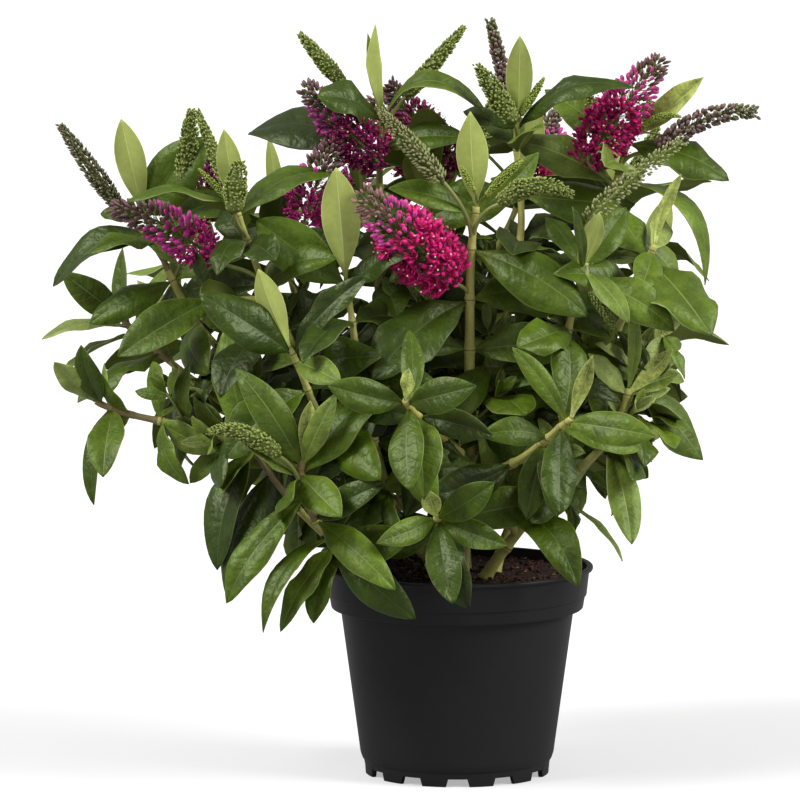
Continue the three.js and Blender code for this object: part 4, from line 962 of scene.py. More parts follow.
# %% The form of a blade
PETIOLE = 0.07  # share of the length that is stalk
PETIOLE_HALF = 1.25  # half width of the stalk at the twig, in millimetres
PETIOLE_FULL = 45  # the stalk of a leaf shorter than this is narrower
LEAST_HALF = 0.22  # half width of a blade where it is narrowest
THICK, EDGE_THINNER, FOOT_THICKER = 0.5, 0.22, 0.5  # millimetres
RIB_REACH, GROOVE, KEEL, KEEL_FOOT = 0.1, 0.22, 0.15, 0.75  # place across; depths in millimetres
FINE = (15, np.array([-1, -0.962, -0.66, -0.32, -0.03, 0.03, 0.32, 0.66, 0.962, 1]))
PLAIN = (9, np.array([-1, -0.95, -0.5, -0.04, 0.04, 0.5, 0.95, 1]))  # stations and columns
KINDS = {  # width over length, arch, fold, pillow, twist, wave, bow, base and tip form, droop
    "young": (0.32, -0.05, 0.34, 0.1, 4, 0.05, 0.02, 1.1, 0.92, 0.0),
    "inner": (0.27, -0.02, 0.06, 0.0, 2, 0.02, 0.0, 1.15, 0.95, 0.0),
    "fresh": (0.36, 0.05, 0.30, 0.26, 12, 0.06, 0.05, 0.92, 0.86, 0.05),
    "grown": (0.42, 0.075, 0.30, 0.34, 18, 0.09, 0.05, 0.86, 0.8, 0.10),
    "old": (0.42, 0.09, 0.28, 0.38, 24, 0.10, 0.06, 0.88, 0.82, 0.14),
    "arched": (0.32, 0.27, 0.30, 0.22, 4, 0.04, 0.02, 0.88, 0.82, 0.04),
    "bud": (0.37, 0.05, 0.30, 0.22, 14, 0.04, 0.04, 0.98, 0.86, 0.05),
}
STRAY = [  # the draw for each column of that table, with its lowest and highest factor
    (1, 0.9, 1.12), (2, 0.4, 1.7), (3, 0.5, 1.6), (4, 0.5, 1.6), (5, -1.4, 1.4),
    (8, 0.3, 1.6), (6, -1, 1), (9, 0.9, 1.12), (10, 0.9, 1.15), (13, -0.2, 1.6),
]


def spread(seed, key, low, high):
    """A repeatable number between two bounds for each leaf."""
    return low + (high - low) * chance(seed, key, 7)


def blades(leaves, stations, columns):
    """All leaves as one array of points, leaf x station x ring, and where on its leaf each
    point is: share of the length, place across, and a tone of the leaf's own from -1 to 1.

    Along a leaf t goes from 0 to 1 and u is t without the stalk; even steps s become
    t = 0.55 s + 0.225 (1 - cos pi s), which sets stations closer at both ends. The half width is
    W/2 x u^rise (1-u)^fall over its own top value, which is an ellipse drawn out to a point,
    plus a stalk that fades as (1-u)^4. The midrib is chord x Lt + face x 4 arch L t(1-t), with a
    sideways bow of the same form, and beyond half way it droops by droop L (2t - 1)^2.
    Across, v goes from -1 to 1 and the blade stands half x (fold |v| - pillow |v|^3 +
    2 wave v^2 sin(2 pi f t + phase)) off the midrib, so each half is a low pillow with a wavy
    edge. The frame turns about the chord by twist x (t - 1/3)."""
    def each(field):
        """One field of all the leaves, with an axis for the stations."""
        return np.array([getattr(leaf, field) for leaf in leaves])[:, None]

    seed, length, base, chord, face = map(each, ("seed", "length", "base", "chord", "face"))
    chord = unit(chord)
    face = unit(face - chord * np.sum(face * chord, axis=-1, keepdims=True))
    across = np.cross(chord, face)
    form = np.array([KINDS[leaf.kind] for leaf in leaves]).T[..., None]
    form = [column * spread(seed, *stray) for column, stray in zip(form, STRAY)]
    width, arch, fold, pillow, twist, wave, bow, rise, fall, droop = form
    width = width * length * each("width")
    twist = np.radians(twist)

    s = np.linspace(0, 1, stations)[None]
    t = 0.55 * s + 0.225 * (1 - np.cos(math.pi * s))
    u = np.clip((t - PETIOLE) / (1 - PETIOLE), 0, 1)
    top = rise / (rise + fall)
    blade = u**rise * (1 - u) ** fall / (top**rise * (1 - top) ** fall)
    stalk = PETIOLE_HALF * np.clip(length / PETIOLE_FULL, 0.4, 1) * (1 - u) ** 4
    half = np.maximum(width / 2 * blade + stalk, LEAST_HALF)

    hump = 4 * t * (1 - t)
    slope = 4 * arch * (1 - 2 * t)
    middle = base + chord * (length * t)[..., None] + face * (arch * length * hump)[..., None]
    middle = middle + across * (bow * length * hump)[..., None]
    beyond = np.clip(2 * t - 1, 0, 1)
    middle = middle - face * (droop * length * beyond**2)[..., None]
    slope = slope - 4 * droop * beyond
    square = unit(face - chord * slope[..., None])
    turn = twist * (t - 1 / 3)
    hand = across * np.cos(turn)[..., None] + square * np.sin(turn)[..., None]
    out = square * np.cos(turn)[..., None] - across * np.sin(turn)[..., None]

    v = columns[None, None]
    phase = spread(seed, 11, 0, 6.3)[..., None] + 1.4 * (v > 0)
    beat = spread(seed, 12, 1.2, 2.6)[..., None]
    ripple = wave[..., None] * np.sin(2 * math.pi * beat * t[..., None] + phase) * v**2
    pillowed = fold[..., None] * np.abs(v) - pillow[..., None] * np.abs(v) ** 3
    lift = half[..., None] * (pillowed + 2 * ripple)
    on_rib = np.abs(v) < RIB_REACH
    keel = (KEEL + KEEL_FOOT * (1 - t[..., None])) * on_rib
    thick = THICK - EDGE_THINNER * v**2 + keel + FOOT_THICKER * (1 - u[..., None]) ** 6
    surface = middle[:, :, None] + hand[:, :, None] * (half[..., None] * v)[..., None]
    upper = surface + out[:, :, None] * (lift - GROOVE * on_rib)[..., None]
    lower = surface + out[:, :, None] * (lift - thick)[..., None]
    tone = spread(seed, 14, -1, 1)
    places = np.stack(np.broadcast_arrays(t[..., None], v, tone[..., None]), axis=-1)
    return (
        np.concatenate([upper, lower[:, :, ::-1]], axis=2),
        np.concatenate([places, places[:, :, ::-1]], axis=2),
    )


def blade_shape(leaves, stations, columns):
    """The leaves as one closed shape, and their points' places on the leaf. Each ring runs over
    the upper side and back under the leaf. The slots are blade, underside, rib and edge."""
    points, places = blades(leaves, stations, columns)
    count = 2 * len(columns)
    quads = grid_faces(stations, count, closed=True)
    blade, under, rib, edge = range(4)
    half = len(columns) // 2 - 2
    around = [edge] + [blade] * half + [rib] + [blade] * half + [edge, edge]
    around += [edge] + [under] * half + [rib] + [under] * half + [edge, edge]
    kinds = np.tile(around, stations - 1)
    step = np.arange(len(columns) - 1)
    lower = np.arange(len(quads)) % count >= len(columns)  # cut across the same corners as above
    quads[lower] = np.roll(quads[lower], -1, axis=1)
    tip_cap = np.stack([step, step + 1, count - 2 - step, count - 1 - step], axis=-1)
    quads = np.concatenate([quads, tip_cap[:, ::-1], tip_cap + (stations - 1) * count])
    kinds = np.concatenate([kinds, np.full(2 * len(step), edge)])
    shift = np.arange(len(leaves))[:, None, None] * stations * count
    whole = shape(points, quads[None] + shift, quad_slots=np.tile(kinds, len(leaves)))
    return whole, places.reshape(-1, 3)

# %% [markdown]
# ## Flower spikes
# The flowers sit on spikes that rise from the leaf corners. A young spike is a cone of tight
# green buds; later the buds redden, lengthen and open from the base upwards, so one spike shows
# every age at once. Each kind of bud and flower is modelled once with at most a hundred faces,
# and then copied along a spiral of 137.5 degrees, the angle by which real buds avoid each other.

# %% Buds and a flower
GREEN, PALE, CALYX, TIP_BUD, LONG_BUD, PETAL, THROAT, FILAMENT, ANTHER, CORE = range(10)

grain_bud = turned([(0, 0), (0.46, 0.3), (0.4, 0.66), (0, 1)], 5, [CALYX, GREEN, PALE])
slim_bud = turned([(0, 0), (0.34, 0.12), (0.5, 0.5), (0, 1)], 5, [CALYX, GREEN, PALE])
plump = [(0, 0), (0.3, 0.1), (0.5, 0.42), (0.4, 0.78), (0, 1)]
plump_bud = turned(plump, 6, [CALYX, CALYX, TIP_BUD, TIP_BUD])
greener_bud = turned(plump, 6, [CALYX, GREEN, GREEN, PALE])
long_bud = turned(
    [(0, 0), (0.22, 0.06), (0.3, 0.35), (0.5, 0.7), (0.36, 0.9), (0, 1)],
    6,
    [CALYX, CALYX, LONG_BUD, LONG_BUD, PETAL],
)
pedicel = turned([(0, 0), (1, 0.05), (0, 1)], 3, CALYX)


def placed(template, scale, direction, origin, across=(0, 1, 0)):
    """A template scaled, its z turned to a direction and its y kept near another, and moved."""
    z = unit(direction)
    y = unit(np.asarray(across, float) - z * (z @ np.asarray(across, float)))
    turn = np.stack([np.cross(y, z), y, z])
    return template._replace(points=(template.points * scale) @ turn + np.asarray(origin, float))


TUBE = [(0, 0), (0.75, 0.3), (0.9, 2.2), (1.9, 4.8), (0, 3.0)]  # radius and height in millimetres
LOBE_SIZE, LOBE_FOOT = [0.26, 1.75, 4.4], (1.3, 4.2)  # thickness, width, length; out and up
LOBE_OUT, LOBE_UP = 0.62, 0.78
THREAD_SIZE, THREAD_FOOT = [0.22, 0.22, 6.6], 3.4
ANTHER_SIZE, ANTHER_REACH = [1.1, 1.1, 1.5], 6.0


def open_flower(tip):
    """A tube with four broad lobes that spread like a star, and two long stamens, whose
    anthers are cream on fresh flowers and dark on older ones (tip names the material)."""
    parts = [turned(TUBE, 6, [CALYX, LONG_BUD, PETAL, THROAT])]
    lobe = turned([(0, 0), (1, 0.3), (0.75, 0.66), (0, 1)], 4, PETAL)
    for quarter in range(4):
        angle = math.pi / 2 * quarter + math.pi / 4
        away = np.array([math.cos(angle), math.sin(angle), 0])
        side = np.array([-math.sin(angle), math.cos(angle), 0])
        origin = away * LOBE_FOOT[0] + UP * LOBE_FOOT[1]
        parts.append(placed(lobe, LOBE_SIZE, away * LOBE_OUT + UP * LOBE_UP, origin, side))
    thread = turned([(0, 0), (1, 0.1), (0, 1)], 3, FILAMENT)
    anther = turned([(0, 0), (0.5, 0.5), (0, 1)], 4, tip)
    for side in (-1, 1):
        lean, foot = unit([0.36 * side, 0.12, 1]), UP * THREAD_FOOT
        parts.append(placed(thread, THREAD_SIZE, lean, foot))
        parts.append(placed(anther, ANTHER_SIZE, [0.9, side, 0.4], foot + lean * ANTHER_REACH))
    return joined(parts)


flowers = [open_flower(ANTHER), open_flower(THROAT), open_flower(THROAT)]
print("faces of a flower:", len(flowers[0].quads) + len(flowers[0].tris))

# %% Spikes
PROFILES = {  # share of the spike's width at shares of its length
    "young": ([0, 0.3, 0.7, 1], [0.6, 1, 0.8, 0.25]),
    "green": ([0, 0.22, 0.65, 1], [0.75, 1, 0.76, 0.3]),
    "bristle": ([0, 0.25, 0.6, 1], [0.8, 1, 0.8, 0.36]),
    "loose": ([0, 0.2, 0.6, 1], [0.85, 1, 0.92, 0.55]),
    "sparse": ([0, 0.2, 0.6, 1], [0.9, 1, 0.84, 0.5]),
    "flower": ([0, 0.18, 0.5, 0.75, 1], [0.62, 1, 0.9, 0.6, 0.34]),
}
SPIRAL = math.radians(137.5)
Stage = namedtuple("Stage", "buds long short slim steep_low steep_high core")
STAGES = {  # buds to a millimetre of spike, their length at base and tip, width over length,
    # degrees out of the axis at base and tip, and the core's share of the spike's width
    "young": Stage(9.0, 2.0, 1.2, 0.7, 56, 30, 0.66),
    "green": Stage(8.0, 3.7, 2.2, 0.58, 52, 28, 0.78),
    "bristle": Stage(6.5, 4.6, 2.8, 0.42, 58, 36, 0.36),
    "loose": Stage(2.7, 5.2, 3.4, 0.62, 64, 40, 0.16),
    "sparse": Stage(2.4, 3.3, 2.4, 0.56, 62, 38, 0.14),
    "flower": Stage(2.7, 9.4, 4.4, 0.4, 66, 40, 0.07),
}
GREEN_FROM = 0.66  # share of a bud spike from which its buds are still green
OPEN_TO, LONG_TO = 0.5, 0.76  # shares of a flowering spike with open flowers and long buds
LATER = 0.24  # the spike at the upper left is in flower over this share less of its length
PEDICEL_HALF = 0.32
FLOWER_WIDTH, FLOWER_LENGTH = 31, 6.6  # a spike this wide has flowers of full size and this length
STOUT_BUDS = [1.08, 1.08, 1.2]  # buds between flowers, over the rule's
CORE_STATIONS, CORE_FOOT, CORE_LEAST = 15, 0.8, 0.45


LEANING, ARCH, SIDE_BOW = 0.7, 0.16, 0.1  # level share from which a spike arches; over its length
CROWDING = {"flower": 0.88}  # exponent that spaces the buds; above 1 they crowd at the base
USUAL_CROWDING = 1.05
USUAL_WIDTH = 14  # a green spike of this width has its stage's number of buds
STEEP_JITTER = 14


def spike_way(base, reach, key):
    """The line of a spike. One that leans far out arches up before it dips, and all of them
    bow a little to one side: base + reach t + bulge 4t(1-t)."""
    reach = np.array(reach, float)
    size = np.linalg.norm(reach)
    level = np.linalg.norm(reach[:2]) / size
    side = unit(np.cross(reach, UP + 0.01))
    bulge = UP * size * ARCH * max(level - LEANING, 0) / (1 - LEANING)
    bulge = bulge + side * size * SIDE_BOW * (chance(key, 3, 5) - 0.5)
    t = np.linspace(0, 1, 33)[:, None]
    return path(base + reach * t + bulge * 4 * t * (1 - t))


def spike_places(way, form, width, key):
    """Where the buds of one spike stand: share of the length, place on the axis, direction out
    of it, bud length, reach from the axis to the bud's tip, and the frame of each bud. Lengths
    stray from the stage's by up to 14 percent, and the reach by up to 6 percent."""
    stage = STAGES[form]
    total = way.travel[-1]
    count = int(stage.buds * total * (width / USUAL_WIDTH if form == "green" else 1))
    number = np.arange(count)
    share = ((number + 0.5) / count) ** CROWDING.get(form, USUAL_CROWDING)
    wobble = chance(number, key, 1)
    here, heading = spot(way, share * total)
    hand = unit(np.cross(heading, [0.31, 0.87, 0.39]))
    other = np.cross(heading, hand)
    angle = (number * SPIRAL + 0.5 * (wobble - 0.5))[:, None]
    radial = hand * np.cos(angle) + other * np.sin(angle)
    steep = stage.steep_low + (stage.steep_high - stage.steep_low) * share
    steep = np.radians(steep + STEEP_JITTER * (chance(number, key, 2) - 0.5))[:, None]
    outward = heading * np.cos(steep) + radial * np.sin(steep)
    length = (stage.long + (stage.short - stage.long) * share) * (0.86 + 0.28 * wobble)
    edge = width / 2 * np.interp(share, *PROFILES[form]) * (0.94 + 0.12 * chance(number, key, 4))
    frame_y = unit(np.cross(outward, heading))
    frames = np.stack([np.cross(frame_y, outward), frame_y, outward], axis=1)
    return share, here, outward, length, edge / np.sin(steep[:, 0]), frames


def spike_shape(way, form, width, key, later=0.0):
    """The buds or flowers of one spike, each on its short stalk, round a green core."""
    share, here, outward, length, reach, frames = spike_places(way, form, width, key)
    wobble = chance(np.arange(len(share)), key, 5)
    stage = STAGES[form]
    stalk = np.maximum(reach - length, 0.3)
    origin = here + outward * stalk[:, None]
    sizes = np.stack([length * stage.slim, length * stage.slim, length], axis=-1)
    parts = []
    if form in ("loose", "sparse", "flower"):
        thin = np.full(len(share), PEDICEL_HALF)
        parts.append(scattered(pedicel, here, frames, np.stack([thin, thin, stalk + 0.6], axis=-1)))
    if form == "flower":
        number = np.arange(len(share))
        mix = share + later + 0.14 * (chance(number, key, 6) - 0.5)
        opened, small = mix < OPEN_TO, mix >= LONG_TO
        grown = width / FLOWER_WIDTH * (0.88 + 0.24 * chance(number, key, 8))
        flower_base = here + outward * np.maximum(reach - FLOWER_LENGTH * grown, 0.8)[:, None]
        scale = np.repeat(grown[:, None], 3, axis=1)
        for kind, flower in enumerate(flowers):
            mine = opened & (number % len(flowers) == kind)
            parts.append(scattered(flower, flower_base[mine], frames[mine], scale[mine]))
        sizes = sizes * STOUT_BUDS
        for bud, mine in ((long_bud, ~opened & ~small), (plump_bud, small)):
            parts.append(scattered(bud, origin[mine], frames[mine], sizes[mine]))
    elif form in ("loose", "sparse"):
        late = share + 0.4 * (wobble - 0.5) > GREEN_FROM
        for bud, mine in ((plump_bud, ~late), (greener_bud, late)):
            parts.append(scattered(bud, origin[mine], frames[mine], sizes[mine]))
    else:
        bud = slim_bud if form == "bristle" else grain_bud
        parts.append(scattered(bud, origin, frames, sizes))
    along = np.linspace(0, 1, CORE_STATIONS)
    radius = width / 2 * stage.core * np.interp(along, *PROFILES[form])
    radius[0] = CORE_FOOT
    core = carried_ring(way, along * way.travel[-1], np.maximum(radius, CORE_LEAST), 8)
    core_slots = {"quad_slots": core.quad_slots + CORE, "tri_slots": core.tri_slots + CORE}
    return joined(parts + [core._replace(**core_slots)])

# %% All the spikes
PALETTE_OF = {  # which flowering spikes are bright, and which are deep
    "crown": "bright", "left_upper": "pink", "left_top": "deep", "top_left": "magenta",
    "back_centre": "deep", "right_top": "crimson", "back_left_top": "magenta",
    "back_top": "crimson", "back_right_top": "bright",
}
OPENER = {  # form and colours of the longer bud spikes of some masses
    "left_top": ("bristle", "olive"), "right_upper": ("sparse", "pale"),
    "crown": ("bristle", "ripe"),
}
OPENER_REACH = 50
LEFT_OUT = [(190, 0)]  # spikes of the rule that would stand before open sky, by axis and number
SHIFTED = {(140, 2): [-10, 0, 0]}  # spikes that stand a little aside of the rule's place
STALK_SHARE = 0.1  # a stalk reaches this far up its spike
THIN_STALK, THICK_STALK = 0.6, 1.15

Spike = namedtuple("Spike", "mass palette whole stalk thick")
spikes = []
for axis in axes:
    for number, (back, stalk, reach, width, stage) in enumerate(axis.racemes):
        if (axis.key, number) in LEFT_OUT:
            continue
        key = axis.key * 7 + number
        node, heading, _, _ = node_on(axis.way, back)
        base = node + np.array(stalk, float) + SHIFTED.get((axis.key, number), [0, 0, 0])
        long_one = np.linalg.norm(reach) > OPENER_REACH
        form, colours = stage, {"young": "new", "green": "green", "mauve": "mauve"}.get(stage)
        if stage == "flower":
            colours = PALETTE_OF.get(axis.mass, "crimson")
        elif stage == "mauve":
            form = "loose"
        if axis.mass in OPENER and long_one and stage != "flower":
            form, colours = OPENER[axis.mass]
        way = spike_way(base, reach, key)
        stalk_way = bend(node, heading, base + np.array(reach) * STALK_SHARE, reach, 24)
        later = LATER if colours == "pink" else 0.0
        whole = spike_shape(way, form, width, key, later)
        thick = THIN_STALK if form == "young" else THICK_STALK
        spikes.append(Spike(axis.mass, colours, whole, stalk_way, thick))
print("spikes:", len(spikes))

# %% [markdown]
# ## Bark
# Hebe stems are smooth and green when young, ribbed and brownish later, and ringed with the
# scars of old leaf pairs every few centimetres. A tube along each axis takes its radius from a
# taper, a flare at the soil, a swelling with a groove at every node and a little noise, so the
# relief is real geometry that also shows at the outline.

# %% One limb
FLARE, FLARE_FADE = 0.35, 18.0
SWELL, SWELL_HALF, CUT, CUT_HALF = 0.24, 2.4, 0.1, 0.5  # shares of the radius; millimetres
NODE_STATIONS = np.array([-2, -1.1, -0.45, 0, 0.45, 1.1, 2])  # extra rings round a node
NODE_FROM, NODE_END = 1.5, 0.5  # a node this close to the limb's foot or tip has no ring
RING_HALF = 0.6  # the band of scar colour round a node
RIBS, RIB_LENGTH, DIMPLES, DIMPLE_LENGTH = 0.035, 22, 0.02, 2.4
BARK, BARK_BROWN, BARK_RING, BARK_STALK = range(4)
BROWNISH = ("left_top", "left_mid", "far_left", "low_left")  # masses with older, browner twigs
BROWN_BACK = 40  # their shoots are brownish this close to the tip


def bell(x):
    """A bell curve of height one: exp(-x^2)."""
    return np.exp(-(x**2))


def limb_shape(way, foot, tip, marks, sides, seed, flare=0.0, brown_from=None, step=2.6):
    """A limb with rings. At a node the radius swells by a bell, swell x r exp(-(s/half)^2), with
    a groove of the same form cut into it; noise adds ribs along it and dimples."""
    total = way.travel[-1]
    marks = np.array([mark for mark in marks if NODE_FROM < mark < total - NODE_END])
    near = (marks[:, None] + NODE_STATIONS).ravel()
    distance = np.linspace(0, total, max(int(total / step), 4) + 1)
    distance = np.unique(np.round(np.clip(np.concatenate([distance, near]), 0, total), 2))
    share = distance / total
    radius = foot + (tip - foot) * share + foot * flare * np.exp(-share * FLARE_FADE)
    offset = distance[:, None] - marks[None]
    swell, cut = SWELL * bell(offset / SWELL_HALF), CUT * bell(offset / CUT_HALF)
    radius = radius * (1 + (swell - cut).sum(axis=1))
    gap = np.abs(offset).min(axis=1, initial=total)
    turn = np.arange(sides)
    ribs = noise(turn[None] / 2, distance[:, None] / RIB_LENGTH, seed)
    dimples = noise(turn[None] / 3 + 31, distance[:, None] / DIMPLE_LENGTH, seed + 1)
    grain = 1 + RIBS * ribs + DIMPLES * dimples
    whole = carried_ring(way, distance, radius[:, None] * grain, sides)
    slots = np.full(len(distance) - 1, BARK)
    if brown_from is not None:
        slots[distance[:-1] > brown_from] = BARK_BROWN
    slots[np.maximum(gap[:-1], gap[1:]) < RING_HALF] = BARK_RING
    return whole._replace(quad_slots=np.repeat(slots, sides))

# %% Stems and boughs
STEM_SIDES, BOUGH_SIDES, TWIG_SIDES = 22, 16, 10
limbs = []
for number, (way, foot_radius, tip_radius) in enumerate(stem_ways.values()):
    marks = np.arange(27 - 2 * number, way.travel[-1], OLDER["gap"])
    limbs.append(limb_shape(way, foot_radius, tip_radius, marks, STEM_SIDES, number * 5.0,
                            FLARE, step=1.8))
for number, (name, (way, radius)) in enumerate(bough_ways.items()):
    marks = np.arange(14, way.travel[-1], OLDER["gap"])
    top = TWIG_ROOT * STOUT.get(name, 1)
    limbs.append(limb_shape(way, radius, top, marks, BOUGH_SIDES, 40 + number * 3.0))

# %% Twigs and stalks
STALK_SWELL = 1.2  # a flower stalk's foot, over its tip
SPROUT_FOOT, SPROUT_TIP = 1.15, 0.8


def stalk_shape(way, foot, tip, stations, sides):
    """A smooth thin stalk that tapers evenly."""
    distance = np.linspace(0, way.travel[-1], stations)
    whole = carried_ring(way, distance, np.linspace(foot, tip, stations), sides)
    return whole._replace(quad_slots=whole.quad_slots + BARK_STALK)


twigs = []
for axis in axes:
    stout = STOUT.get(axis.mass, 1)
    root = TWIG_ROOT * (stout if axis.carrier is not None else SIDE_TWIG)
    reach = axis.way.travel[-1]
    marks = [reach - back for back in node_marks[axis.key]]
    brown = reach - BROWN_BACK if axis.mass in BROWNISH else None
    twigs.append(limb_shape(axis.way, root, TWIG_TIP * stout, marks, TWIG_SIDES, axis.key + 0.5,
                            0, brown))
for spike in spikes:
    twigs.append(stalk_shape(spike.stalk, spike.thick * STALK_SWELL, spike.thick, 9, 8))
for sprout in sprouts:
    twigs.append(stalk_shape(sprout.way, SPROUT_FOOT, SPROUT_TIP, 6, 6))
print("limbs:", len(limbs), "twigs and stalks:", len(twigs))

# %% [markdown]
# ## Leaf, bark and petal colours
# A hebe leaf is olive to deep green and satin, with a paler and duller underside. Leaves darken
# as they age, so a leaf's place on its shoot picks its green. Three small node groups give every
# leaf its veins, a soft mottling and a faint relief; they are built once and reused.

# %% Nodes in short
COLOUR, NUMBER, GREY = "NodeSocketColor", "NodeSocketFloat", (0.5, 0.5, 0.5, 1)


def worked(tree, operation, *values):
    """The result of a Math node, whose inputs are sockets or numbers."""
    return new_node(tree, "ShaderNodeMath", enumerate(values), operation=operation).outputs[0]


def scaled(tree, colour, factor):
    """A colour times a number."""
    inputs = {0: colour, "Scale": factor}
    return new_node(tree, "ShaderNodeVectorMath", inputs, operation="SCALE").outputs["Vector"]


def stretched(tree, value, old, new, **settings):
    """A number carried over from one range to another."""
    names = ("Value", "From Min", "From Max", "To Min", "To Max")
    inputs = dict(zip(names, (value, *old, *new)))
    return new_node(tree, "ShaderNodeMapRange", inputs, **settings).outputs["Result"]


def noise_of(tree, scale, detail):
    """Noise in object coordinates."""
    place = new_node(tree, "ShaderNodeTexCoord").outputs["Object"]
    inputs = {"Vector": place, "Scale": scale, "Detail": detail}
    return new_node(tree, "ShaderNodeTexNoise", inputs).outputs["Fac"]

# %% Shader groups
def mottle_group():
    """Base colour x (1 + amount x m), where m is a coarse noise plus half of one seven times
    as fine, stretched to run from -1 to 1, so that no leaf is one flat green."""
    group, start, end = new_group(
        "mottle",
        [("Color", COLOUR, GREY), ("Amount", NUMBER, 0.2), ("Scale", NUMBER, 60.0)],
        [("Color", COLOUR)],
    )
    scale = start.outputs["Scale"]
    coarse = noise_of(group, scale, 2.0)
    fine = noise_of(group, worked(group, "MULTIPLY", scale, 7.0), 2.0)
    both = worked(group, "MULTIPLY_ADD", fine, 0.5, coarse)
    mottling = stretched(group, both, (0.45, 1.05), (-1.0, 1.0))
    factor = worked(group, "MULTIPLY_ADD", mottling, start.outputs["Amount"], 1.0)
    group.links.new(scaled(group, start.outputs["Color"], factor), end.inputs["Color"])
    return group


def relief_group():
    """A height from noise, for a shader's Bump node."""
    group, start, end = new_group(
        "relief", [("Scale", NUMBER, 250.0), ("Detail", NUMBER, 3.0)], [("Height", NUMBER)]
    )
    height = noise_of(group, start.outputs["Scale"], start.outputs["Detail"])
    group.links.new(height, end.inputs["Height"])
    return group


def blade_group():
    """The look of a blade along and across it, from the point attribute leaf (t, v, tone).
    The colour is taken down or up by the leaf's tone, a little paler to the foot, darker along
    the midrib groove as painted shade and paler out to the edge, with faint side veins:
    (0.5 + 0.5 sin(62 t - 7 |v|))^5 makes chevrons that point to the tip.
    The height holds the same veins, so that the sheen breaks along them."""
    group, start, end = new_group(
        "blade_look",
        [("Color", COLOUR, GREY), ("Rib", COLOUR, GREY), ("Tone", NUMBER, 0.28),
         ("Veins", NUMBER, 0.05)],
        [("Color", COLOUR), ("Height", NUMBER)],
    )
    place = new_node(group, "ShaderNodeAttribute", attribute_name="leaf").outputs["Vector"]
    along, across, tone = new_node(group, "ShaderNodeSeparateXYZ", {0: place}).outputs
    across = worked(group, "ABSOLUTE", across)
    slanted = worked(group, "MULTIPLY_ADD", across, -7.0, worked(group, "MULTIPLY", along, 62.0))
    chevron = worked(group, "MULTIPLY_ADD", worked(group, "SINE", slanted), 0.5, 0.5)
    vein = worked(group, "POWER", chevron, 5.0)
    tinted = worked(group, "MULTIPLY_ADD", tone, start.outputs["Tone"], 1.0)
    tinted = worked(group, "ADD", tinted, worked(group, "MULTIPLY", vein, start.outputs["Veins"]))
    # painted shade: darker along the midrib groove, paler out to the edge
    tinted = worked(group, "ADD", tinted, worked(group, "MULTIPLY_ADD", across, 0.26, -0.12))
    foot = stretched(group, along, (0.24, 0.02), (0.0, 0.75), interpolation_type="SMOOTHSTEP")
    shaded = scaled(group, start.outputs["Color"], tinted)
    inputs = {"Factor": foot, "A": shaded, "B": start.outputs["Rib"]}
    mix = new_node(group, "ShaderNodeMix", inputs, data_type="RGBA")
    group.links.new(mix.outputs["Result"], end.inputs["Color"])
    group.links.new(vein, end.inputs["Height"])
    return group


MOTTLE, RELIEF, BLADE = mottle_group(), relief_group(), blade_group()

# %% Living materials
DEPTH, BLADE_DEPTH, VEIN_CUT = 0.3 * MM, 1.8 * MM, -0.07


def use_mottle(tree, colour, amount, scale):
    """Feeds the shader a mottled colour, made from a constant or from a socket."""
    inputs = {"Color": colour, "Amount": amount, "Scale": scale}
    mottle = new_node(tree, "ShaderNodeGroup", inputs, node_tree=MOTTLE)
    tree.links.new(mottle.outputs["Color"], tree.nodes["Principled BSDF"].inputs["Base Color"])


def use_relief(tree, strength, depth, grain, veins=None):
    """Feeds the shader a bump of fine grain, into which a leaf's veins are cut."""
    height = new_node(tree, "ShaderNodeGroup", {"Scale": grain}, node_tree=RELIEF).outputs["Height"]
    if veins is not None:
        height = worked(tree, "MULTIPLY_ADD", veins, VEIN_CUT, height)
    inputs = {"Strength": strength, "Distance": depth, "Height": height}
    bump = new_node(tree, "ShaderNodeBump", inputs)
    tree.links.new(bump.outputs["Normal"], tree.nodes["Principled BSDF"].inputs["Normal"])


def living_material(name, colour, roughness, amount, scale, bump=0.0, grain=0.0, **sockets):
    """A material with mottled colour and, where a bump is asked for, a fine relief."""
    material = new_material(name, colour, roughness, **sockets)
    use_mottle(material.node_tree, linear(*colour), amount, scale)
    if bump:
        use_relief(material.node_tree, bump, DEPTH, grain)
    return material

# %% [markdown]
# ## Leaves by age
# Seven greens cover the plant, from the pale pair that clasps each tip to the deep leaves of the
# interior. A leaf takes its green from its age and a little chance, and its mass adds painted
# light and shade: a more strongly lit mass takes paler greens. The pieces are split by green and
# size, so each piece needs only a few materials.

# %% Leaf tints
TINTS = {  # blade, underside, rib and edge colours, and roughness of the blade
    "youngest": ((176, 188, 98), (168, 180, 96), (198, 208, 128), (200, 209, 130), 0.52),
    "pale": ((134, 150, 80), (136, 149, 84), (158, 173, 100), (168, 180, 112), 0.5),
    "fresh": ((105, 124, 50), (124, 136, 70), (130, 148, 70), (146, 158, 88), 0.5),
    "bright": ((82, 102, 28), (110, 122, 56), (106, 124, 48), (124, 137, 68), 0.48),
    "mid": ((64, 82, 14), (94, 106, 40), (84, 101, 28), (98, 112, 42), 0.46),
    "dark": ((46, 61, 10), (78, 90, 32), (62, 78, 20), (78, 91, 34), 0.44),
    "deep": ((34, 45, 9), (60, 69, 24), (46, 58, 16), (56, 68, 24), 0.46),
}
TINT_NAMES = list(TINTS)
SHEEN = (0.86, 1.0, 0.6, 1.0)  # the wax of a leaf gives its highlights a greenish tone
TINT_BY_AGE = {"fresh": 2.5, "bud": 2.9, "grown": 4.0, "arched": 4.0, "old": 4.7}  # place above
TINT_LUCK = 2.4
MOTTLING, YOUNG_MOTTLING = 0.42, 0.8
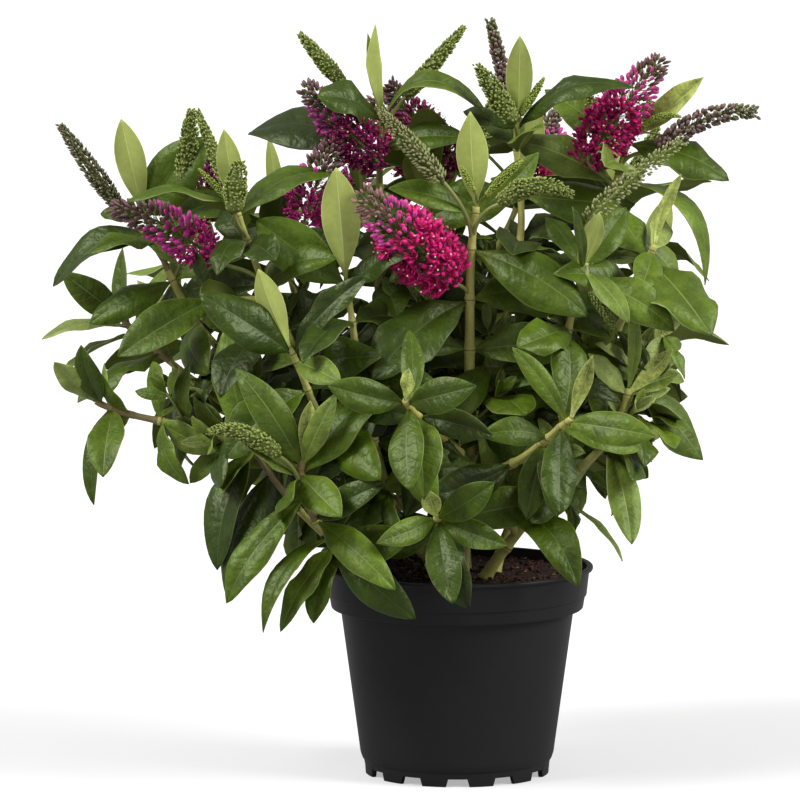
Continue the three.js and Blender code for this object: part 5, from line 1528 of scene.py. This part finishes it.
# painted light and shade: a mass that is lit more strongly takes a paler green, one in shade a
# darker one
PAINTED_LIGHT_STEPS = {  # steps that a mass is lighter than the others, which follows how it is lit
    "back_centre": 1.2, "back_left": 0.7, "back_left_top": 0.9, "back_right": 1.6,
    "back_right_top": 0.4, "back_top": 0.5, "far_left": 0.6, "front": -0.4, "front_right": 0.4,
    "left_centre": -0.5, "left_top": 0.4, "left_mid": 0.3, "left_upper": -0.8, "low_front": -0.4,
    "low_left": 0.4, "low_right": 1.3, "right_low": 1.5, "right_mid": 1.1, "right_top": 1.5,
    "right_upper": 0.2, "top_left": -0.6, "top_right": 0.5,
}


def blade_material(name, colour, rib, roughness, mottling):
    """A leathery blade: the look along and across it, mottled, with quilting in the relief."""
    material = new_material(name, colour, roughness, Specular_IOR_Level=0.5, Specular_Tint=SHEEN)
    tree = material.node_tree
    inputs = {"Color": linear(*colour), "Rib": linear(*rib)}
    look = new_node(tree, "ShaderNodeGroup", inputs, node_tree=BLADE)
    use_mottle(tree, look.outputs["Color"], mottling, 80.0)
    use_relief(tree, 0.75, BLADE_DEPTH, 150.0, look.outputs["Height"])
    return material


def leaf_materials(name):
    """The four materials of one tint: blade, underside, rib and edge."""
    blade, under, rib, edge, rough = TINTS[name]
    mottling = YOUNG_MOTTLING if name == "youngest" else MOTTLING
    return [
        blade_material("blade_" + name, blade, rib, rough, mottling),
        living_material("underside_" + name, under, 0.65, 0.18, 50.0, Specular_IOR_Level=0.25),
        living_material("rib_" + name, rib, 0.5, 0.1, 60.0),
        living_material("edge_" + name, edge, 0.5, 0.1, 60.0),
    ]


def tint_of(leaf):
    """The number of a leaf's tint, from its age, its own steps, painted light and shade for how its
    mass is lit, and chance. The youngest tint is only for the pairs that clasp a tip."""
    if leaf.kind in ("young", "inner"):
        return 0
    step = TINT_BY_AGE[leaf.kind] + TINT_LUCK * (chance(leaf.seed, 21, 3) - 0.5)
    # painted light and shade: the steps for how a mass is lit make its leaves paler or darker
    step = round(step + leaf.steps - PAINTED_LIGHT_STEPS.get(leaf.mass, 0))
    return int(np.clip(step, 1, len(TINT_NAMES) - 1))

# %% Leaf pieces
leaf_tints = np.array([tint_of(leaf) for leaf in leaves])
small = np.array([leaf.kind == "bud" for leaf in leaves])
for number, tint in enumerate(TINT_NAMES):
    for suffix, chosen in (("", ~small), ("_small", small)):
        picked = [leaves[k] for k in np.flatnonzero((leaf_tints == number) & chosen)]
        if not picked:
            continue
        whole, places = blade_shape(picked, *(PLAIN if suffix else FINE))
        nodes = sorted({"foliage_" + leaf.mass for leaf in picked})
        piece = new_piece(f"leaves_{tint}{suffix}", whole, leaf_materials(tint), nodes)
        marked = piece.data.attributes.new("leaf", "FLOAT_VECTOR", "POINT")
        marked.data.foreach_set("vector", places.ravel())

# %% [markdown]
# ## Wood and flowers
# The bark is one long piece for stems and boughs, and a second one for twigs and stalks. The
# spikes are gathered by the colour of their petals.

# %% Bark pieces
bark_colours = [
    living_material("bark_green", (182, 179, 98), 0.55, 0.2, 90.0, 0.4, 500.0),
    living_material("bark_brown", (138, 122, 82), 0.6, 0.22, 110.0, 0.4, 500.0),
    living_material("bark_ring", (134, 122, 72), 0.75, 0.2, 200.0),
    living_material("stalk_green", (138, 146, 82), 0.55, 0.15, 90.0),
]
limb_nodes = list(stem_ways) + ["bough_" + name for name in bough_ways]
new_piece("bark_limbs", joined(limbs), bark_colours, limb_nodes)
mass_nodes = ["foliage_" + name for name in bough_ways]
new_piece("bark_twigs", joined(twigs), bark_colours, mass_nodes)

# %% Spike pieces
FLOWER_COLOURS = {  # petal, throat, long bud and tip bud
    "bright": ((220, 28, 124), (146, 8, 64), (206, 84, 166), (146, 110, 106)),
    "pink": ((206, 40, 138), (120, 8, 70), (190, 66, 146), (116, 82, 88)),
    "magenta": ((152, 14, 98), (84, 4, 50), (172, 78, 144), (118, 86, 92)),
    "crimson": ((196, 22, 112), (96, 4, 34), (186, 76, 142), (122, 88, 88)),
    "deep": ((128, 8, 72), (62, 0, 34), (128, 36, 88), (92, 58, 66)),
}
BUD_COLOURS = {  # bud, its tip, calyx, and the plump bud of a loose spike
    "new": ((140, 158, 60), (162, 178, 80), (110, 126, 46), (136, 152, 62)),
    "green": ((108, 121, 52), (142, 154, 78), (97, 109, 45), (98, 110, 54)),
    "olive": ((84, 84, 50), (104, 98, 66), (84, 92, 44), (92, 94, 58)),
    "ripe": ((116, 120, 70), (142, 146, 94), (100, 108, 56), (96, 108, 54)),
    "pale": ((148, 156, 96), (160, 168, 108), (126, 138, 70), (150, 152, 106)),
    "mauve": ((100, 100, 66), (122, 120, 84), (96, 92, 58), (119, 95, 92)),
}


def spike_materials(name):
    """Materials in the order of the slots GREEN to CORE."""
    if name in BUD_COLOURS:
        green, pale, calyx, tip_bud = BUD_COLOURS[name]
        petal = throat = long_colour = tip_bud
    else:
        petal, throat, long_colour, tip_bud = FLOWER_COLOURS[name]
        green, pale, calyx = BUD_COLOURS["green"][:3]
    parts = [
        ("bud", green, 0.5), ("bud_point", pale, 0.5), ("calyx", calyx, 0.6),
        ("bud_tip", tip_bud, 0.48), ("bud_long", long_colour, 0.45), ("petal", petal, 0.5),
        ("throat", throat, 0.55), ("filament", petal, 0.5), ("anther", (226, 206, 176), 0.6),
        ("core", calyx, 0.7),
    ]
    return [living_material(f"{part}_{name}", *look, 0.2, 260.0) for part, *look in parts]


for name in list(FLOWER_COLOURS) + list(BUD_COLOURS):
    picked = [spike for spike in spikes if spike.palette == name]
    if picked:
        nodes = sorted({"foliage_" + spike.mass for spike in picked})
        new_piece("spikes_" + name, joined([spike.whole for spike in picked]),
                  spike_materials(name), nodes)

# %% [markdown]
# ## Pot and soil
# The pot is thin black polypropylene, moulded in one shot: a tapered wall, a stepped band under
# a rolled rim and a ring of twelve feet with gaps that let water out. A lathe profile with small
# round corners gives all of it, and the gaps lift the foot of the profile where they fall.

# %% The pot's profile
POT = {
    "height": 131, "rim": 85, "band_top": 82.7, "band_step": 81, "band_foot": 78.8,
    "band_height": 26.5, "step_height": 8, "shoulder": 73, "heel": 60.6, "heel_height": 13,
    "foot": 57.7, "foot_height": 5.3, "foot_depth": 3, "foot_step": 8.6, "foot_step_top": 9.4,
    "pad": 18, "wall": 1.6, "floor": 2, "lip": 2.3, "ledge": 2.6,
    "feet": 12, "notch_half": 7.5, "slant": 1.4, "notch_crown": 5.0,
}


def rounded(profile, radius, steps=4):
    """A polyline with its corners cut by quadratic curves that start one radius before the
    corner: (1-t)^2 a + 2t(1-t) c + t^2 b. The radius shrinks where a side is short."""
    profile = np.asarray(profile, float)
    corner, before, after = profile[1:-1], profile[:-2], profile[2:]
    reach = np.broadcast_to(radius, len(profile))[1:-1]
    back, on = before - corner, after - corner
    back_length, on_length = np.linalg.norm(back, axis=1), np.linalg.norm(on, axis=1)
    start = corner + back * np.minimum(reach / back_length, 0.45)[:, None]
    end = corner + on * np.minimum(reach / on_length, 0.45)[:, None]
    t = np.linspace(0, 1, steps)[None, :, None]
    arcs = (1 - t) ** 2 * start[:, None] + 2 * t * (1 - t) * corner[:, None] + t**2 * end[:, None]
    return np.concatenate([profile[:1], arcs.reshape(-1, 2), profile[-1:]])


band_bottom = POT["height"] - POT["band_height"]
step_top = band_bottom + POT["step_height"]
inside_floor = POT["foot_height"] + POT["floor"]
inner_foot = POT["foot"] - POT["foot_depth"]
inner_top = POT["band_top"] - POT["wall"]
pot_corners = np.array([  # radius, height and rounding, from the middle below to the floor inside
    (0, 0, 0), (POT["pad"], 0, 0.8), (POT["pad"] + 0.4, POT["foot_height"], 0.8),
    (inner_foot, POT["foot_height"], 0.8), (inner_foot + 0.1, 0, 0.5), (POT["foot"], 0, 0.6),
    (POT["foot"] + 0.7, POT["foot_step"], 0.6), (POT["foot"] + 1.6, POT["foot_step_top"], 0.6),
    (POT["heel"], POT["heel_height"], 1.5), (POT["shoulder"], band_bottom - 0.6, 0.8),
    (POT["band_foot"], band_bottom, 1.0), (POT["band_step"] - 0.9, step_top, 0.3),
    (POT["band_step"], step_top + 0.3, 0.4),
    (POT["band_top"], POT["height"] - POT["lip"] - 0.9, 0.5),
    (POT["rim"], POT["height"] - POT["lip"], 0.9), (POT["rim"], POT["height"], 1.1),
    (inner_top, POT["height"], 0.6), (inner_top - 0.1, POT["height"] - 3.0, 0.6),
    (POT["band_foot"] - POT["wall"], band_bottom + POT["ledge"], 0.8),
    (POT["shoulder"] - POT["wall"], band_bottom + 0.6, 0.8),
    (POT["foot"] - POT["wall"] + 0.2, inside_floor, 2), (0, inside_floor, 0),
])
pot_line = rounded(pot_corners[:, :2], pot_corners[:, 2])

# %% The pot
def pot_shape():
    """The profile turned round z. Where an angle lies in a gap between two feet, the foot of
    the profile is lifted to the gap's height: max(z, h), h falling over the slant."""
    slant = math.degrees(POT["slant"] / POT["foot"])
    half = POT["notch_half"]
    # columns, in degrees from the middle of a gap, are closer together at its slanted side
    marks = [0, 2, 4, half - slant, half - slant / 2, half, half + 1, 11, 13]
    sector = np.array([-15.0] + [-mark for mark in marks[:0:-1]] + marks)
    degrees = (np.arange(POT["feet"])[:, None] * 360 / POT["feet"] + sector).ravel() - 90
    gap = np.tile(np.clip((half - np.abs(sector)) / slant, 0, 1) * POT["notch_crown"], POT["feet"])
    angle = np.radians(degrees)
    radius, height = pot_line[1:-1, 0], pot_line[1:-1, 1]
    on_foot = (radius > inner_foot - 0.5) & (height < POT["notch_crown"])
    z = np.where(on_foot[:, None], np.maximum(height[:, None], gap[None]), height[:, None])
    x, y = radius[:, None] * np.cos(angle), radius[:, None] * np.sin(angle)
    return ringed(np.stack([x, y, z], axis=-1), [[0, 0, 0], [0, 0, inside_floor]])


pot_black = living_material(
    "pot_black", (38, 38, 39), 0.45, 0.06, 30.0, 0.12, 900.0, Specular_IOR_Level=0.2
)
new_piece("pot_body", pot_shape(), [pot_black], ["pot"], sharp=38)

# %% [markdown]
# ## Soil
# Potting soil is peat with bark and a few pale grains. A rough disc carries the height, and
# some thousands of small angular crumbs on it break up its surface.

# %% Soil
SOIL_EDGE = inner_top - 0.7
SOIL_CUT = SOIL_TOP - 0.3
SOIL_SINK, CRUMB_SINK = 0.6, 0.9  # how far the surface and the crumbs on it lie lower
CRUMB_DARK, CRUMB_BROWN = 0.62, 0.8  # share of dark crumbs, and of brown ones in the rest


def soil_height(x, y):
    """Humps and grains of the surface: 1.2 n(x/9, y/9) + 0.5 n(x/2.5, y/2.5)."""
    return 1.2 * noise(x / 9, y / 9, 5) + 0.5 * noise(x / 2.5, y / 2.5, 6)


def soil_shape(sides=120, rings=40):
    """A plug that fills the pot: rings up its wall from the floor to the rim band, and on top
    rings that run in to the middle."""
    angle = full_turn(sides)
    wall = np.array([
        (POT["foot"] - POT["wall"] - 0.8, inside_floor + 0.3),
        (POT["shoulder"] - POT["wall"] - 1.2, band_bottom - 0.3),
        (POT["band_foot"] - POT["wall"] - 1.6, band_bottom + POT["ledge"] + 1.0),
        (SOIL_EDGE, SOIL_CUT - 2.0),
    ])
    top = np.linspace(1, 0.02, rings)
    radius = np.concatenate([wall[:, 0], SOIL_EDGE * top])[:, None]
    height = np.concatenate([wall[:, 1], np.full(rings, SOIL_CUT)])[:, None]
    x, y = radius * np.cos(angle), radius * np.sin(angle)
    on_top = (np.arange(len(radius)) >= len(wall))[:, None]
    z = height + np.where(on_top, soil_height(x, y) - SOIL_SINK, 0)
    poles = [[0, 0, inside_floor + 0.3], [0, 0, SOIL_CUT - 0.4]]
    return ringed(np.stack([x, y, z], axis=-1), poles)


def crumbs_shape(count=2600):
    """Small angular crumbs lying on the soil at random places, turned and sized by chance."""
    number = np.arange(count)
    crumb = turned([(0, 0), (0.5, 0.15), (0.42, 0.7), (0, 0.9)], 5)
    away, place, big, flat, lean_x, lean_y, long, dark, brown = (
        chance(number, key, 31) for key in range(1, 10)
    )
    radius, angle = np.sqrt(away) * (SOIL_EDGE - 2), 2 * math.pi * place
    x, y = radius * np.cos(angle), radius * np.sin(angle)
    z = SOIL_CUT + soil_height(x, y) - CRUMB_SINK
    heading = unit(np.stack([lean_x - 0.5, lean_y - 0.5, np.full(count, 0.6)], axis=-1))
    level = np.stack([np.cos(number), np.sin(number), np.zeros(count)], axis=-1)
    hand = unit(np.cross(heading, level))
    frames = np.stack([hand, np.cross(heading, hand), heading], axis=1)
    size = (1.0 + 2.4 * big**3)[:, None]
    sizes = size * np.stack([1 + long, np.ones(count), 0.4 + 0.5 * flat], axis=-1)
    whole = scattered(crumb, np.stack([x, y, z], axis=-1), frames, sizes)
    kind = np.where(dark < CRUMB_DARK, 1, np.where(brown < CRUMB_BROWN, 2, 3))
    return whole._replace(
        quad_slots=np.repeat(kind, len(crumb.quads)), tri_slots=np.repeat(kind, len(crumb.tris))
    )


soil_colours = [
    living_material("soil_dark", (44, 26, 22), 0.95, 0.3, 150.0, 0.6, 900.0),
    living_material("crumb_dark", (56, 32, 26), 0.95, 0.3, 150.0),
    living_material("crumb_brown", (84, 56, 38), 0.95, 0.3, 150.0),
    living_material("crumb_tan", (128, 98, 66), 0.9, 0.2, 150.0),
]
soil_bed = joined([soil_shape(), crumbs_shape()])
new_piece("soil_bed", soil_bed, soil_colours, ["soil"], sharp=50)
